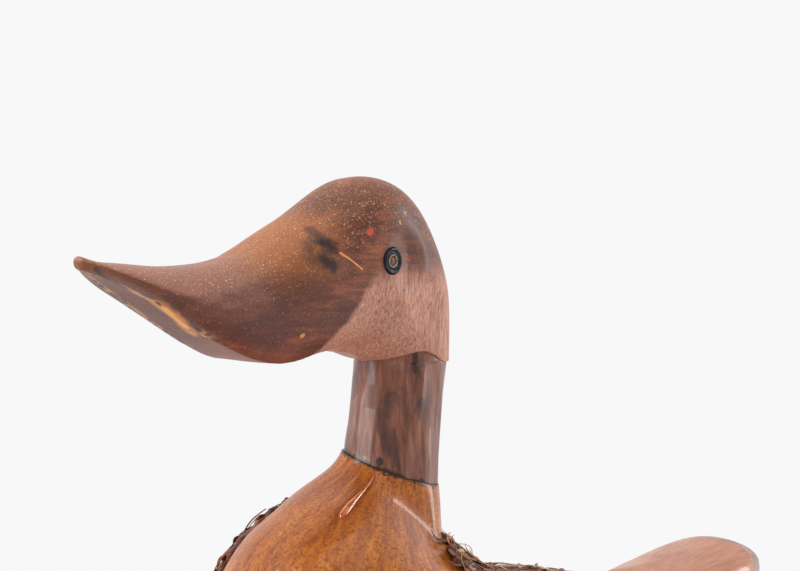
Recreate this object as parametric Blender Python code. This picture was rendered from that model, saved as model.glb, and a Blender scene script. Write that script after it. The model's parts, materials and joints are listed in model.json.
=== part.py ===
"""Floating duck decoy: a carved head that turns on its neck, a solid wooden body with fibre mats on back and
flanks, a let-in tail, a ballast bar in the base and a ring for the anchor line.

Metres, +Z up. The bill points to -X and the duck's left side is at -Y. The origin is on the ground under the
middle of the whole length.
"""

import math

import bmesh
import bpy
from mathutils import Matrix, Vector

# Driving dimensions
TOTAL_LENGTH = 0.347
BILL_BASE = 0.052
BILL_LENGTH = 0.0828
SWIVEL_SET_BACK = 0.0045
NECK_RADIUS = 0.0165
NECK_TOP_RADIUS = 0.0163
BREAST_REACH = 0.076
TAIL_OVERHANG = 0.056
BODY_HALF_WIDTH = 0.072
WIDEST_HEIGHT = 0.046
DECK_HEIGHT = 0.080
NECK_FOOT_HEIGHT = 0.128
NECK_LENGTH = 0.037
SEAM_FALL_BACK = 0.25
SEAM_RISE_RIGHT = 0.25
SEAM_REACH = 16

TAIL_LENGTH = 0.110
TAIL_HEIGHT = 0.0765
MAT_THICKNESS = 0.0065

BOLT_RADIUS = 0.003
BOLT_LOW_END = 0.016
BUSH_WALL = 0.003
BUSH_LENGTH = 0.014
BORE_CLEARANCE = 0.0015
CHAMBER_RADIUS = 0.011
CHAMBER_HEIGHT = 0.036
PLUG_THICKNESS = 0.008
NUT_HALF_FLATS = 0.005
NUT_HEIGHT = 0.0085
WASHER_RADIUS = 0.0085
WASHER_THICKNESS = 0.002
SPRING_RADIUS = 0.007
SPRING_HEIGHT = 0.0022
INSERT_RADIUS = 0.005
INSERT_LENGTH = 0.016
SEAM_WASHER_RADIUS = 0.012
SEAM_WASHER_THICKNESS = 0.00135

EYE_RING_RADIUS = 0.0048
EYE_EYELET_RADIUS = 0.0030
EYE_PLUG_RADIUS = 0.0015
EYE_DEPTH = 0.004
EYE_STAND = 0.0004

DOWEL_RADIUS = 0.0025
NECK_DOWEL_LENGTH = 0.024
NECK_DOWEL_FORWARD = 0.005
NECK_DOWEL_SPREAD = 0.0095
TAIL_DOWEL_LENGTH = 0.024
TAIL_DOWEL_SPREAD = 0.012

TACK_HEAD_RADIUS = 0.0032
TACK_HEAD_HEIGHT = 0.0016
TACK_CROWN = ((1.0, 0.0), (0.7, 0.7), (0.2, 1.0))
TACK_SHANK_RADIUS = 0.0008
TACK_LENGTH = 0.014

KEEL_LENGTH = 0.100
KEEL_WIDTH = 0.022
KEEL_THICKNESS = 0.009
KEEL_BEHIND_NECK = 0.070
KEEL_SCREW_SPREAD = 0.035
SCREW_RADIUS = 0.002
SCREW_HEAD_RADIUS = 0.0042
SCREW_HEAD_DEPTH = 0.0024
SCREW_LENGTH = 0.026

STAPLE_WIRE_RADIUS = 0.0013
STAPLE_HALF_WIDTH = 0.0053
STAPLE_STAND = 0.011
STAPLE_BITE = 0.012
STAPLE_BEND = 0.003
RING_RADIUS = 0.008
RING_WIRE_RADIUS = 0.0011

# Fits
GAP = 0.0003
JOINT_GAP = 0.00035
RUNNING_CLEARANCE = 0.00006
MAT_GAP = 0.0005
CUTTER_REACH = 0.01
SUNK = 0.0005

# Mesh fineness
HEAD_RINGS = 27
HEAD_SIDES = 28
BODY_RINGS = 22
BODY_SIDES = 48
NECK_RINGS = 6
NECK_SIDES = 48
TAIL_RINGS = 12
TAIL_SIDES = 24
ROUND_SIDES = 32
SMALL_SIDES = 12
NUT_SIDES = 24
BEND_STEPS = 4

# Derived places
HEAD_JOINT_HEIGHT = NECK_FOOT_HEIGHT + NECK_LENGTH
SWIVEL_X = -TOTAL_LENGTH / 2 + BILL_BASE + BILL_LENGTH
NECK_X = SWIVEL_X - SWIVEL_SET_BACK
STERN_REACH = TOTAL_LENGTH / 2 - NECK_X - TAIL_OVERHANG
TAIL_ROOT_X = TOTAL_LENGTH / 2 - TAIL_LENGTH
NECK_TOP = HEAD_JOINT_HEIGHT - JOINT_GAP

# Head stations from the joint to the bill tip, x forward of the swivel axis and z above the joint:
# throat x, throat z, crown x, crown z, half width, how far up the section is widest
HEAD_STATIONS = (
    (0.0165, 0.0000, -0.0165, 0.0000, 0.0165, 0.00),
    (0.0205, 0.0020, -0.0130, 0.0310, 0.0190, 0.00),
    (0.0265, 0.0035, 0.0045, 0.0590, 0.0220, 0.05),
    (0.0315, 0.0050, 0.0245, 0.0635, 0.0225, 0.05),
    (0.0465, 0.0050, 0.0525, 0.0500, 0.0210, 0.00),
    (BILL_BASE + 0.17 * BILL_LENGTH, 0.0025, BILL_BASE + 0.32 * BILL_LENGTH, 0.0385, 0.0180, -0.25),
    (BILL_BASE + 0.40 * BILL_LENGTH, 0.0075, BILL_BASE + 0.60 * BILL_LENGTH, 0.0360, 0.0165, -0.35),
    (BILL_BASE + 0.70 * BILL_LENGTH, 0.0220, BILL_BASE + 0.85 * BILL_LENGTH, 0.0370, 0.0135, -0.35),
    (BILL_BASE + 0.85 * BILL_LENGTH, 0.0305, BILL_BASE + 0.94 * BILL_LENGTH, 0.0380, 0.0095, -0.30),
    (BILL_BASE + 0.985 * BILL_LENGTH, 0.0370, BILL_BASE + BILL_LENGTH, 0.0390, 0.0025, 0.00),
)

# Body profiles up from the base edge at breast, side and stern. The first number runs from the neck's radius
# at 0 to the widest outline at 1. The second is 0 at the base, 1 at the widest, 2 at the deck and 3 at the
# neck's foot.
BREAST_PROFILE = (
    (0.53, 0.00), (0.77, 0.26), (0.93, 0.61), (1.00, 1.10), (0.94, 1.80),
    (0.83, 2.24), (0.66, 2.55), (0.40, 2.78), (0.12, 2.92), (0.00, 3.00),
)
SIDE_PROFILE = (
    (0.72, 0.00), (0.87, 0.22), (0.97, 0.56), (1.00, 1.00), (0.95, 1.50),
    (0.84, 1.92), (0.60, 2.21), (0.28, 2.40), (0.07, 2.62), (0.00, 3.00),
)
STERN_PROFILE = (
    (0.83, 0.00), (0.91, 0.15), (0.97, 0.43), (1.00, 0.87), (0.93, 1.30),
    (0.76, 1.72), (0.50, 1.95), (0.20, 1.98), (0.03, 2.16), (0.00, 3.00),
)

# Tail stations from the root to the tip: share of the length, drop of its top and of its bottom below the
# tail's height, half width
TAIL_STATIONS = (
    (0.00, 0.0050, 0.0310, 0.0270),
    (0.35, 0.0025, 0.0280, 0.0275),
    (0.70, -0.0005, 0.0230, 0.0250),
    (0.84, -0.0010, 0.0200, 0.0205),
    (0.94, 0.0030, 0.0170, 0.0140),
    (1.00, 0.0100, 0.0130, 0.0030),
)

HEAD_FULLNESS = 2.2
TAIL_FULLNESS = 2.4
EYE_STATION = 0.315
EYE_AROUND = 0.248
STAPLE_LEVEL = 0.205
MAT_LOW_LEVEL = 4
MAT_HIGH_LEVEL = 19
BACK_MAT_LOW_LEVEL = 14
LEFT_BIB_SIDE = 11
RIGHT_BIB_SIDE = 5
BACK_MAT_SIDES = 4
MAT_EDGE_INSET = 0.1


def clear_scene():
    for obj in list(bpy.data.objects):
        bpy.data.objects.remove(obj)


def finish(name, colour, roughness, metallic=0.0):
    material = bpy.data.materials.new(name)
    material.use_nodes = True
    shader = material.node_tree.nodes["Principled BSDF"]
    shader.inputs["Base Color"].default_value = (*colour, 1.0)
    shader.inputs["Roughness"].default_value = roughness
    shader.inputs["Metallic"].default_value = metallic
    material.diffuse_color = (*colour, 1.0)
    return material


def spline(stations, share):
    """Catmull-Rom curve through the stations, read at a share of its length from 0 to 1."""
    spans = len(stations) - 1
    place = min(max(share, 0.0), 1.0) * spans
    first = min(int(place), spans - 1)
    f = place - first
    corners = [Vector(stations[min(max(first + step, 0), spans)]) for step in (-1, 0, 1, 2)]
    before, start, end, after = corners
    return (
        start
        + (end - before) * (0.5 * f)
        + (2 * before - 5 * start + 4 * end - after) * (0.5 * f * f)
        + (3 * start - before - 3 * end + after) * (0.5 * f**3)
    )


def rounded(angle, fullness):
    """Cosine and sine of a superellipse: fullness 2 is an ellipse, more is boxier."""
    c, s = math.cos(angle), math.sin(angle)
    return (
        math.copysign(abs(c) ** (2 / fullness), c),
        math.copysign(abs(s) ** (2 / fullness), s),
    )


def head_point(share, around):
    """Head surface: share runs from the joint to the bill tip, around runs once round from the throat."""
    throat_x, throat_z, crown_x, crown_z, half_width, raised = spline(HEAD_STATIONS, share)
    rise, aside = rounded(around * math.tau, HEAD_FULLNESS)
    place = (1 - rise) / 2 + raised * (1 - rise * rise) / 2
    x = SWIVEL_X - (throat_x + (crown_x - throat_x) * place)
    z = HEAD_JOINT_HEIGHT + throat_z + (crown_z - throat_z) * place
    return Vector((x, half_width * aside, z))


def outline_reach(turn):
    """Distance from the neck's axis to the body's widest outline, an ellipse longer behind than in front."""
    half_length = (BREAST_REACH + STERN_REACH) / 2
    behind = (STERN_REACH - BREAST_REACH) / 2
    c, s = math.cos(turn), math.sin(turn)
    a = (c / half_length) ** 2 + (s / BODY_HALF_WIDTH) ** 2
    b = 2 * c * behind / half_length**2
    rest = (behind / half_length) ** 2 - 1
    return (-b + math.sqrt(b * b - 4 * a * rest)) / (2 * a)


def level_height(level):
    """Height of a level: 0 base, 1 widest, 2 deck, 3 foot of the neck."""
    heights = (0.0, WIDEST_HEIGHT, DECK_HEIGHT, NECK_FOOT_HEIGHT)
    low = min(max(int(level), 0), 2)
    return heights[low] + (heights[low + 1] - heights[low]) * (level - low)


def seam_lift(x, y):
    """The neck's foot is sawn askew: higher in front and on the right."""
    return SEAM_RISE_RIGHT * y - SEAM_FALL_BACK * (x - NECK_X)


def body_point(around, share):
    """Body surface: around runs from the breast by the left side round the neck's axis, share runs up."""
    turn = around * math.tau
    c, s = math.cos(turn), math.sin(turn)
    ends = BREAST_PROFILE if c > 0 else STERN_PROFILE
    lengthwise = 1 - s**4
    out, level = spline(ends, share) * lengthwise + spline(SIDE_PROFILE, share) * (1 - lengthwise)
    reach = NECK_RADIUS + (outline_reach(turn) - NECK_RADIUS) * out
    x = NECK_X - reach * c
    y = -reach * s
    return Vector((x, y, level_height(level) + seam_lift(x, y) * share**SEAM_REACH))


def tail_point(share, around, grow=0.0):
    place, top, bottom, half_width = spline(TAIL_STATIONS, share)
    rise, aside = rounded(around * math.tau, TAIL_FULLNESS)
    middle = TAIL_HEIGHT - (top + bottom) / 2
    half_height = (bottom - top) / 2 + grow
    x = TAIL_ROOT_X + TAIL_LENGTH * place
    return Vector((x, (half_width + grow) * aside, middle + half_height * rise))


def surface_frame(point_at, first, second, inward):
    """Where a fitting sits on a surface: its place, with Z along the normal that points away from inward."""
    step = 0.002
    place = point_at(first, second)
    along = point_at(first + step, second) - point_at(first - step, second)
    across = point_at(first, second + step) - point_at(first, second - step)
    normal = along.cross(across).normalized()
    if normal.dot(place - inward) < 0:
        normal.negate()
    return Matrix.Translation(place) @ normal.to_track_quat("Z", "Y").to_matrix().to_4x4()


def add_object(name, bm, material=None, origin=None):
    """Makes the object from a closed mesh in world coordinates; its origin is at the empty, if any."""
    bmesh.ops.remove_doubles(bm, verts=bm.verts, dist=1e-7)
    bmesh.ops.recalc_face_normals(bm, faces=bm.faces)
    mesh = bpy.data.meshes.new(name)
    obj = bpy.data.objects.new(name, mesh)
    bpy.context.scene.collection.objects.link(obj)
    if origin:
        bmesh.ops.translate(bm, verts=bm.verts, vec=-origin.location)
        obj.parent = origin
    bm.to_mesh(mesh)
    bm.free()
    if material:
        mesh.materials.append(material)
    mesh.shade_smooth()
    mesh.set_sharp_from_angle(angle=math.radians(35))
    return obj


def add_skin(bm, rings, closed_path=False):
    """Triangles between neighbouring rings of points, with flat caps on the two ends."""
    loops = [[bm.verts.new(point) for point in ring] for ring in rings]
    pairs = list(zip(loops, loops[1:]))
    if closed_path:
        pairs.append((loops[-1], loops[0]))
    for low, high in pairs:
        for side in range(len(low)):
            after = (side + 1) % len(low)
            bm.faces.new((low[side], low[after], high[after]))
            bm.faces.new((low[side], high[after], high[side]))
    if not closed_path:
        bm.faces.new(loops[0])
        bm.faces.new(loops[-1])
    return bm


def ring_of(point_at, share, sides):
    return [point_at(share, side / sides) for side in range(sides)]


def turned(profile, frame, sides=ROUND_SIDES):
    """Turns a closed profile of (radius, height) points about the frame's Z. A profile that touches the axis
    makes a solid, and one that stays off it makes a ring."""
    bm = bmesh.new()
    steps = [math.tau * side / sides for side in range(sides)]
    touches_axis = profile[0][0] == 0
    points = profile[1:-1] if touches_axis else profile
    rings = [
        [frame @ Vector((radius * math.cos(a), radius * math.sin(a), height)) for a in steps]
        for radius, height in points
    ]
    return add_skin(bm, rings, closed_path=not touches_axis)


def upright(x, y, z=0.0):
    return Matrix.Translation((x, y, z))


def rod(radius, low, high):
    """Profile of a plain round rod, from low to high on its axis."""
    return ((0, low), (radius, low), (radius, high), (0, high))


def tube(inner, outer, low, high):
    """Profile of a plain ring."""
    return ((inner, low), (outer, low), (outer, high), (inner, high))


def add_cutter(name, bm):
    obj = add_object(name, bm)
    obj.hide_render = True
    obj.display_type = "WIRE"
    return obj


def cut(target, cutter):
    modifier = target.modifiers.new(cutter.name, "BOOLEAN")
    modifier.operation = "DIFFERENCE"
    modifier.solver = "EXACT"
    modifier.object = cutter


def add_axis(name, place):
    empty = bpy.data.objects.new(name, None)
    empty.location = place
    bpy.context.scene.collection.objects.link(empty)
    return empty


def make_head(axis, wood):
    rings = [
        ring_of(head_point, step / (HEAD_RINGS - 1), HEAD_SIDES) for step in range(HEAD_RINGS)
    ]
    head = add_object("head", add_skin(bmesh.new(), rings), wood, axis)
    recess = SEAM_WASHER_THICKNESS + 2 * GAP - JOINT_GAP
    profile = (
        (0, -CUTTER_REACH),
        (SEAM_WASHER_RADIUS + 2 * GAP, -CUTTER_REACH),
        (SEAM_WASHER_RADIUS + 2 * GAP, recess),
        (INSERT_RADIUS + GAP, recess),
        (INSERT_RADIUS + GAP, recess + INSERT_LENGTH + 2 * GAP),
        (0, recess + INSERT_LENGTH + 2 * GAP),
    )
    frame = upright(SWIVEL_X, 0, HEAD_JOINT_HEIGHT)
    cut(head, add_cutter("head_joint_cutter", turned(profile, frame)))
    return head


def make_eye(side, sign, head, axis, metals):
    """A metal ring, an eyelet inside it and a wooden plug in the middle, let into the skull."""
    around = EYE_AROUND if sign > 0 else 1 - EYE_AROUND
    skull_middle = Vector((SWIVEL_X - BILL_BASE / 2, 0, HEAD_JOINT_HEIGHT + BILL_BASE / 2))
    frame = surface_frame(head_point, EYE_STATION, around, skull_middle)
    socket = rod(EYE_RING_RADIUS + GAP, -EYE_DEPTH, EYE_DEPTH)
    cut(head, add_cutter(f"{side}_eye_socket_cutter", turned(socket, frame)))
    low = GAP - EYE_DEPTH
    ring = tube(EYE_EYELET_RADIUS + GAP, EYE_RING_RADIUS, low, EYE_STAND)
    eyelet = tube(EYE_PLUG_RADIUS + GAP, EYE_EYELET_RADIUS, low, EYE_STAND)
    plug = rod(EYE_PLUG_RADIUS, low, 0)
    for piece, profile, metal in zip(("ring", "eyelet", "plug"), (ring, eyelet, plug), metals):
        add_object(f"{side}_eye_{piece}", turned(profile, frame), metal, axis)


def make_neck(wood):
    rings = []
    for step in range(NECK_RINGS):
        share = step / (NECK_RINGS - 1)
        centre = NECK_X + SWIVEL_SET_BACK * share
        radius = NECK_RADIUS + (NECK_TOP_RADIUS - NECK_RADIUS) * share
        foot = NECK_FOOT_HEIGHT + GAP
        ring = []
        for side in range(NECK_SIDES):
            turn = math.tau * side / NECK_SIDES
            x = centre - radius * math.cos(turn)
            y = -radius * math.sin(turn)
            low = foot + seam_lift(x - SWIVEL_SET_BACK * share, y)
            ring.append(Vector((x, y, low + (NECK_TOP - low) * share)))
        rings.append(ring)
    neck = add_object("neck", add_skin(bmesh.new(), rings), wood)
    bore = BOLT_RADIUS + BORE_CLEARANCE
    seat = BOLT_RADIUS + RUNNING_CLEARANCE + BUSH_WALL + GAP
    step_height = NECK_TOP - BUSH_LENGTH - 2 * GAP
    profile = (
        (0, NECK_FOOT_HEIGHT - CUTTER_REACH),
        (bore, NECK_FOOT_HEIGHT - CUTTER_REACH),
        (bore, step_height),
        (seat, step_height),
        (seat, NECK_TOP + CUTTER_REACH),
        (0, NECK_TOP + CUTTER_REACH),
    )
    cut(neck, add_cutter("neck_bore_cutter", turned(profile, upright(SWIVEL_X, 0))))
    return neck


def make_body(wood):
    rings = []
    for step in range(BODY_RINGS):
        share = step / (BODY_RINGS - 1)
        rings.append([body_point(side / BODY_SIDES, share) for side in range(BODY_SIDES)])
    body = add_object("body", add_skin(bmesh.new(), rings), wood)
    bore = BOLT_RADIUS + BORE_CLEARANCE
    seat = BOLT_RADIUS + RUNNING_CLEARANCE + BUSH_WALL + GAP
    profile = (
        (0, -CUTTER_REACH),
        (CHAMBER_RADIUS, -CUTTER_REACH),
        (CHAMBER_RADIUS, CHAMBER_HEIGHT),
        (seat, CHAMBER_HEIGHT),
        (seat, CHAMBER_HEIGHT + BUSH_LENGTH + 2 * GAP),
        (bore, CHAMBER_HEIGHT + BUSH_LENGTH + 2 * GAP),
        (bore, NECK_FOOT_HEIGHT + CUTTER_REACH),
        (0, NECK_FOOT_HEIGHT + CUTTER_REACH),
    )
    cut(body, add_cutter("body_bore_cutter", turned(profile, upright(SWIVEL_X, 0))))
    return body


def make_swivel(axis, steel, brass, leather):
    """Bolt, nut and washers turn with the head; the bushes and the leather washer stay with neck and body."""
    frame = upright(SWIVEL_X, 0)
    recess_top = HEAD_JOINT_HEIGHT + SEAM_WASHER_THICKNESS + 2 * GAP - JOINT_GAP
    insert_low = recess_top + GAP
    insert = tube(BOLT_RADIUS + GAP, INSERT_RADIUS, insert_low, insert_low + INSERT_LENGTH)
    add_object("head_insert", turned(insert, frame), brass, axis)
    bolt = rod(BOLT_RADIUS, BOLT_LOW_END, insert_low + INSERT_LENGTH - GAP)
    add_object("head_bolt", turned(bolt, frame), steel, axis)
    washer_top = CHAMBER_HEIGHT - GAP
    washer_low = washer_top - WASHER_THICKNESS
    washer = tube(BOLT_RADIUS + GAP, WASHER_RADIUS, washer_low, washer_top)
    add_object("bolt_washer", turned(washer, frame), brass, axis)
    spring_top = washer_low - GAP
    spring_low = spring_top - SPRING_HEIGHT
    rim = SPRING_HEIGHT / 2
    spring = (
        (BOLT_RADIUS + GAP, spring_low),
        (SPRING_RADIUS, spring_low + rim),
        (SPRING_RADIUS, spring_top),
        (BOLT_RADIUS + GAP, spring_top - rim),
    )
    add_object("spring_washer", turned(spring, frame), steel, axis)
    nut_top = spring_low - GAP
    nut = bmesh.new()
    outer, inner = [], []
    for side in range(NUT_SIDES):
        turn = math.tau * side / NUT_SIDES
        reach = NUT_HALF_FLATS / math.cos(math.fmod(turn, math.pi / 3) - math.pi / 6)
        outer.append(Vector((math.cos(turn), math.sin(turn), 0)) * reach)
        inner.append(Vector((math.cos(turn), math.sin(turn), 0)) * (BOLT_RADIUS + GAP))
    low, high = Vector((SWIVEL_X, 0, nut_top - NUT_HEIGHT)), Vector((SWIVEL_X, 0, nut_top))
    rings = [
        [point + low for point in inner],
        [point + low for point in outer],
        [point + high for point in outer],
        [point + high for point in inner],
    ]
    add_object("lock_nut", add_skin(nut, rings, closed_path=True), steel, axis)
    bush_inner = BOLT_RADIUS + RUNNING_CLEARANCE
    bush_low = CHAMBER_HEIGHT + GAP
    bush = tube(bush_inner, bush_inner + BUSH_WALL, bush_low, bush_low + BUSH_LENGTH)
    add_object("body_bush", turned(bush, frame), brass)
    bush_top = NECK_TOP - GAP
    bush = tube(bush_inner, bush_inner + BUSH_WALL, bush_top - BUSH_LENGTH, bush_top)
    add_object("neck_bush", turned(bush, frame), brass)
    low = NECK_TOP + GAP
    washer = tube(BOLT_RADIUS + 2 * GAP, SEAM_WASHER_RADIUS, low, low + SEAM_WASHER_THICKNESS)
    add_object("seam_washer", turned(washer, frame), leather)


def make_bottom_plug(wood):
    plug = rod(CHAMBER_RADIUS - GAP, SUNK, SUNK + PLUG_THICKNESS)
    add_object("bottom_plug", turned(plug, upright(SWIVEL_X, 0)), wood)


def make_neck_dowels(neck, body, wood):
    x = NECK_X - NECK_DOWEL_FORWARD
    low = NECK_FOOT_HEIGHT - NECK_DOWEL_LENGTH / 2
    high = NECK_FOOT_HEIGHT + NECK_DOWEL_LENGTH / 2
    for side, sign in (("left", -1), ("right", 1)):
        frame = upright(x, sign * NECK_DOWEL_SPREAD)
        dowel = turned(rod(DOWEL_RADIUS, low, high), frame, SMALL_SIDES)
        add_object(f"neck_dowel_{side}", dowel, wood)
        hole = turned(rod(DOWEL_RADIUS + GAP, low - GAP, high + GAP), frame, SMALL_SIDES)
        cutter = add_cutter(f"neck_dowel_{side}_cutter", hole)
        cut(neck, cutter)
        cut(body, cutter)


def make_tail(body, tail_wood, dowel_wood):
    steps = [step / (TAIL_RINGS - 1) for step in range(TAIL_RINGS)]
    rings = [ring_of(tail_point, share, TAIL_SIDES) for share in steps]
    tail = add_object("tail", add_skin(bmesh.new(), rings), tail_wood)
    grown = [
        [tail_point(share, side / TAIL_SIDES, GAP * 1.5) for side in range(TAIL_SIDES)]
        for share in steps
    ]
    grown[0] = [point - Vector((GAP, 0, 0)) for point in grown[0]]
    cut(body, add_cutter("tail_socket_cutter", add_skin(bmesh.new(), grown)))
    height = TAIL_HEIGHT - (TAIL_STATIONS[0][1] + TAIL_STATIONS[0][2]) / 2
    for side, sign in (("left", -1), ("right", 1)):
        place = Vector((TAIL_ROOT_X, sign * TAIL_DOWEL_SPREAD, height))
        frame = Matrix.Translation(place) @ Matrix.Rotation(math.pi / 2, 4, "Y")
        half = TAIL_DOWEL_LENGTH / 2
        dowel = turned(rod(DOWEL_RADIUS, -half, half), frame, SMALL_SIDES)
        add_object(f"tail_dowel_{side}", dowel, dowel_wood)
        hole = turned(rod(DOWEL_RADIUS + GAP, -half - GAP, half + GAP), frame, SMALL_SIDES)
        cutter = add_cutter(f"tail_dowel_{side}_cutter", hole)
        cut(tail, cutter)
        cut(body, cutter)


def mat_grid(sides, levels, stand):
    """Points of a mat's face, a stand's height off the body, on the body's own mesh lines."""
    inward = Vector((NECK_X, 0, WIDEST_HEIGHT))
    grid = []
    for level in levels:
        row = []
        for side in sides:
            frame = surface_frame(
                body_point, side / BODY_SIDES, level / (BODY_RINGS - 1), inward
            )
            row.append(frame @ Vector((0, 0, stand)))
        grid.append(row)
    return grid


def make_mat(name, first_side, last_side, low_level, high_level, fibre):
    """A closed solid between two faces that follow the body."""
    sides = list(range(first_side, last_side + 1))
    sides[0] += MAT_EDGE_INSET
    sides[-1] -= MAT_EDGE_INSET
    levels = range(low_level, high_level + 1)
    bm = bmesh.new()
    faces = []
    for stand in (MAT_GAP, MAT_GAP + MAT_THICKNESS):
        grid = [[bm.verts.new(p) for p in row] for row in mat_grid(sides, levels, stand)]
        for low, high in zip(grid, grid[1:]):
            for a, b, c, d in zip(low, low[1:], high[1:], high):
                bm.faces.new((a, b, c))
                bm.faces.new((a, c, d))
        faces.append(grid)
    inner, outer = faces
    edges = (
        (inner[0], outer[0]),
        (inner[-1], outer[-1]),
        ([row[0] for row in inner], [row[0] for row in outer]),
        ([row[-1] for row in inner], [row[-1] for row in outer]),
    )
    for low, high in edges:
        for a, b, c, d in zip(low, low[1:], high[1:], high):
            bm.faces.new((a, b, c))
            bm.faces.new((a, c, d))
    return add_object(name, bm, fibre)


def add_tack(name, mat, body, side, level, brass):
    """A domed tack through a mat into the body, in the middle of one of the body's faces."""
    inward = Vector((NECK_X, 0, WIDEST_HEIGHT))
    frame = surface_frame(body_point, side / BODY_SIDES, level / (BODY_RINGS - 1), inward)
    top = MAT_GAP + MAT_THICKNESS + 2 * GAP
    profile = (
        (0, top - TACK_LENGTH),
        (TACK_SHANK_RADIUS, top - TACK_LENGTH),
        (TACK_SHANK_RADIUS, top),
        *((TACK_HEAD_RADIUS * out, top + TACK_HEAD_HEIGHT * up) for out, up in TACK_CROWN),
        (0, top + TACK_HEAD_HEIGHT),
    )
    add_object(name, turned(profile, frame, SMALL_SIDES), brass)
    hole = rod(TACK_SHANK_RADIUS + GAP, top - TACK_LENGTH - GAP, top + GAP)
    cutter = add_cutter(f"{name}_cutter", turned(hole, frame, SMALL_SIDES // 2))
    cut(mat, cutter)
    cut(body, cutter)


def make_mats(body, fibre, brass):
    middle = BODY_SIDES // 2
    back = make_mat(
        "back_mat", middle - BACK_MAT_SIDES, middle + BACK_MAT_SIDES,
        BACK_MAT_LOW_LEVEL, MAT_HIGH_LEVEL, fibre,
    )
    spots = ((middle - 2.5, 14.5), (middle + 2.5, 14.5), (middle - 2.5, 16.5), (middle + 2.5, 16.5))
    for number, (side, level) in enumerate(spots, 1):
        add_tack(f"back_mat_tack_{number}", back, body, side, level, brass)
    left = make_mat(
        "left_flank_mat", LEFT_BIB_SIDE, middle - BACK_MAT_SIDES,
        MAT_LOW_LEVEL, MAT_HIGH_LEVEL, fibre,
    )
    right = make_mat(
        "right_flank_mat", middle + BACK_MAT_SIDES, BODY_SIDES - RIGHT_BIB_SIDE,
        MAT_LOW_LEVEL, MAT_HIGH_LEVEL, fibre,
    )
    left_spots = ((12.5, 7.5), (15.5, 7.5), (18.5, 10.5), (13.5, 12.5))
    right_spots = ((40.5, 7.5), (33.5, 7.5), (29.5, 10.5), (37.5, 12.5))
    for number, (left_spot, right_spot) in enumerate(zip(left_spots, right_spots), 1):
        add_tack(f"left_mat_tack_{number}", left, body, *left_spot, brass)
        add_tack(f"right_mat_tack_{number}", right, body, *right_spot, brass)


def make_keel(body, lead, steel):
    """A lead bar in a pocket of the base, held by two countersunk screws."""
    x = NECK_X + KEEL_BEHIND_NECK
    low = 2 * SUNK
    high = low + KEEL_THICKNESS
    bar = bmesh.new()
    bmesh.ops.create_cube(bar, size=1.0)
    bmesh.ops.scale(bar, vec=(KEEL_LENGTH, KEEL_WIDTH, KEEL_THICKNESS), verts=bar.verts)
    bmesh.ops.translate(bar, vec=(x, 0, (low + high) / 2), verts=bar.verts)
    weight = add_object("keel_weight", bar, lead)
    pocket = bmesh.new()
    bmesh.ops.create_cube(pocket, size=1.0)
    depth = 2 * (high + GAP)
    size = (KEEL_LENGTH + 2 * GAP, KEEL_WIDTH + 2 * GAP, depth)
    bmesh.ops.scale(pocket, vec=size, verts=pocket.verts)
    bmesh.ops.translate(pocket, vec=(x, 0, 0), verts=pocket.verts)
    cut(body, add_cutter("keel_pocket_cutter", pocket))
    sides = ROUND_SIDES // 2
    for end, sign in (("front", -1), ("rear", 1)):
        frame = upright(x + sign * KEEL_SCREW_SPREAD, 0, low + GAP)
        screw = (
            (0, 0), (SCREW_HEAD_RADIUS, 0), (SCREW_RADIUS, SCREW_HEAD_DEPTH),
            (SCREW_RADIUS, SCREW_LENGTH), (0, SCREW_LENGTH),
        )
        add_object(f"keel_screw_{end}", turned(screw, frame, sides), steel)
        hole = (
            (0, -2 * GAP), (SCREW_HEAD_RADIUS + 2 * GAP, -2 * GAP),
            (SCREW_HEAD_RADIUS + 2 * GAP, GAP), (SCREW_RADIUS + GAP, SCREW_HEAD_DEPTH + 2 * GAP),
            (SCREW_RADIUS + GAP, SCREW_LENGTH + GAP), (0, SCREW_LENGTH + GAP),
        )
        cutter = add_cutter(f"keel_screw_{end}_cutter", turned(hole, frame, sides))
        cut(weight, cutter)
        cut(body, cutter)


def staple_path(bar_x, inner_x, height):
    """One leg in, round the bend, along the bar, round the other bend and back out."""
    points = [Vector((inner_x, -STAPLE_HALF_WIDTH, height))]
    for sign in (-1, 1):
        turns = [math.pi / 2 * step / BEND_STEPS for step in range(BEND_STEPS + 1)]
        if sign > 0:
            turns.reverse()
        for turn in turns:
            points.append(
                Vector((
                    bar_x + STAPLE_BEND * (1 - math.sin(turn)),
                    sign * (STAPLE_HALF_WIDTH - STAPLE_BEND * (1 - math.cos(turn))),
                    height,
                ))
            )
    points.append(Vector((inner_x, STAPLE_HALF_WIDTH, height)))
    return points


def wire(path, radius, sides, closed=False):
    """A round wire along a path that lies in one plane."""
    count = len(path)
    normal = (path[1] - path[0]).cross(path[count // 2] - path[0]).normalized()
    turns = [math.tau * side / sides for side in range(sides)]
    rings = []
    for index, point in enumerate(path):
        before = path[index - 1] if closed or index else point
        after = path[(index + 1) % count] if closed or index < count - 1 else point
        across = (after - before).normalized().cross(normal)
        rings.append([
            point + (across * math.cos(turn) + normal * math.sin(turn)) * radius
            for turn in turns
        ])
    return add_skin(bmesh.new(), rings, closed_path=closed)


def staple_bar():
    """Where the staple's bar is: in front of the breast at the staple's level."""
    breast = body_point(0, STAPLE_LEVEL)
    return Vector((breast.x - STAPLE_STAND, 0, breast.z))


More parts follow.
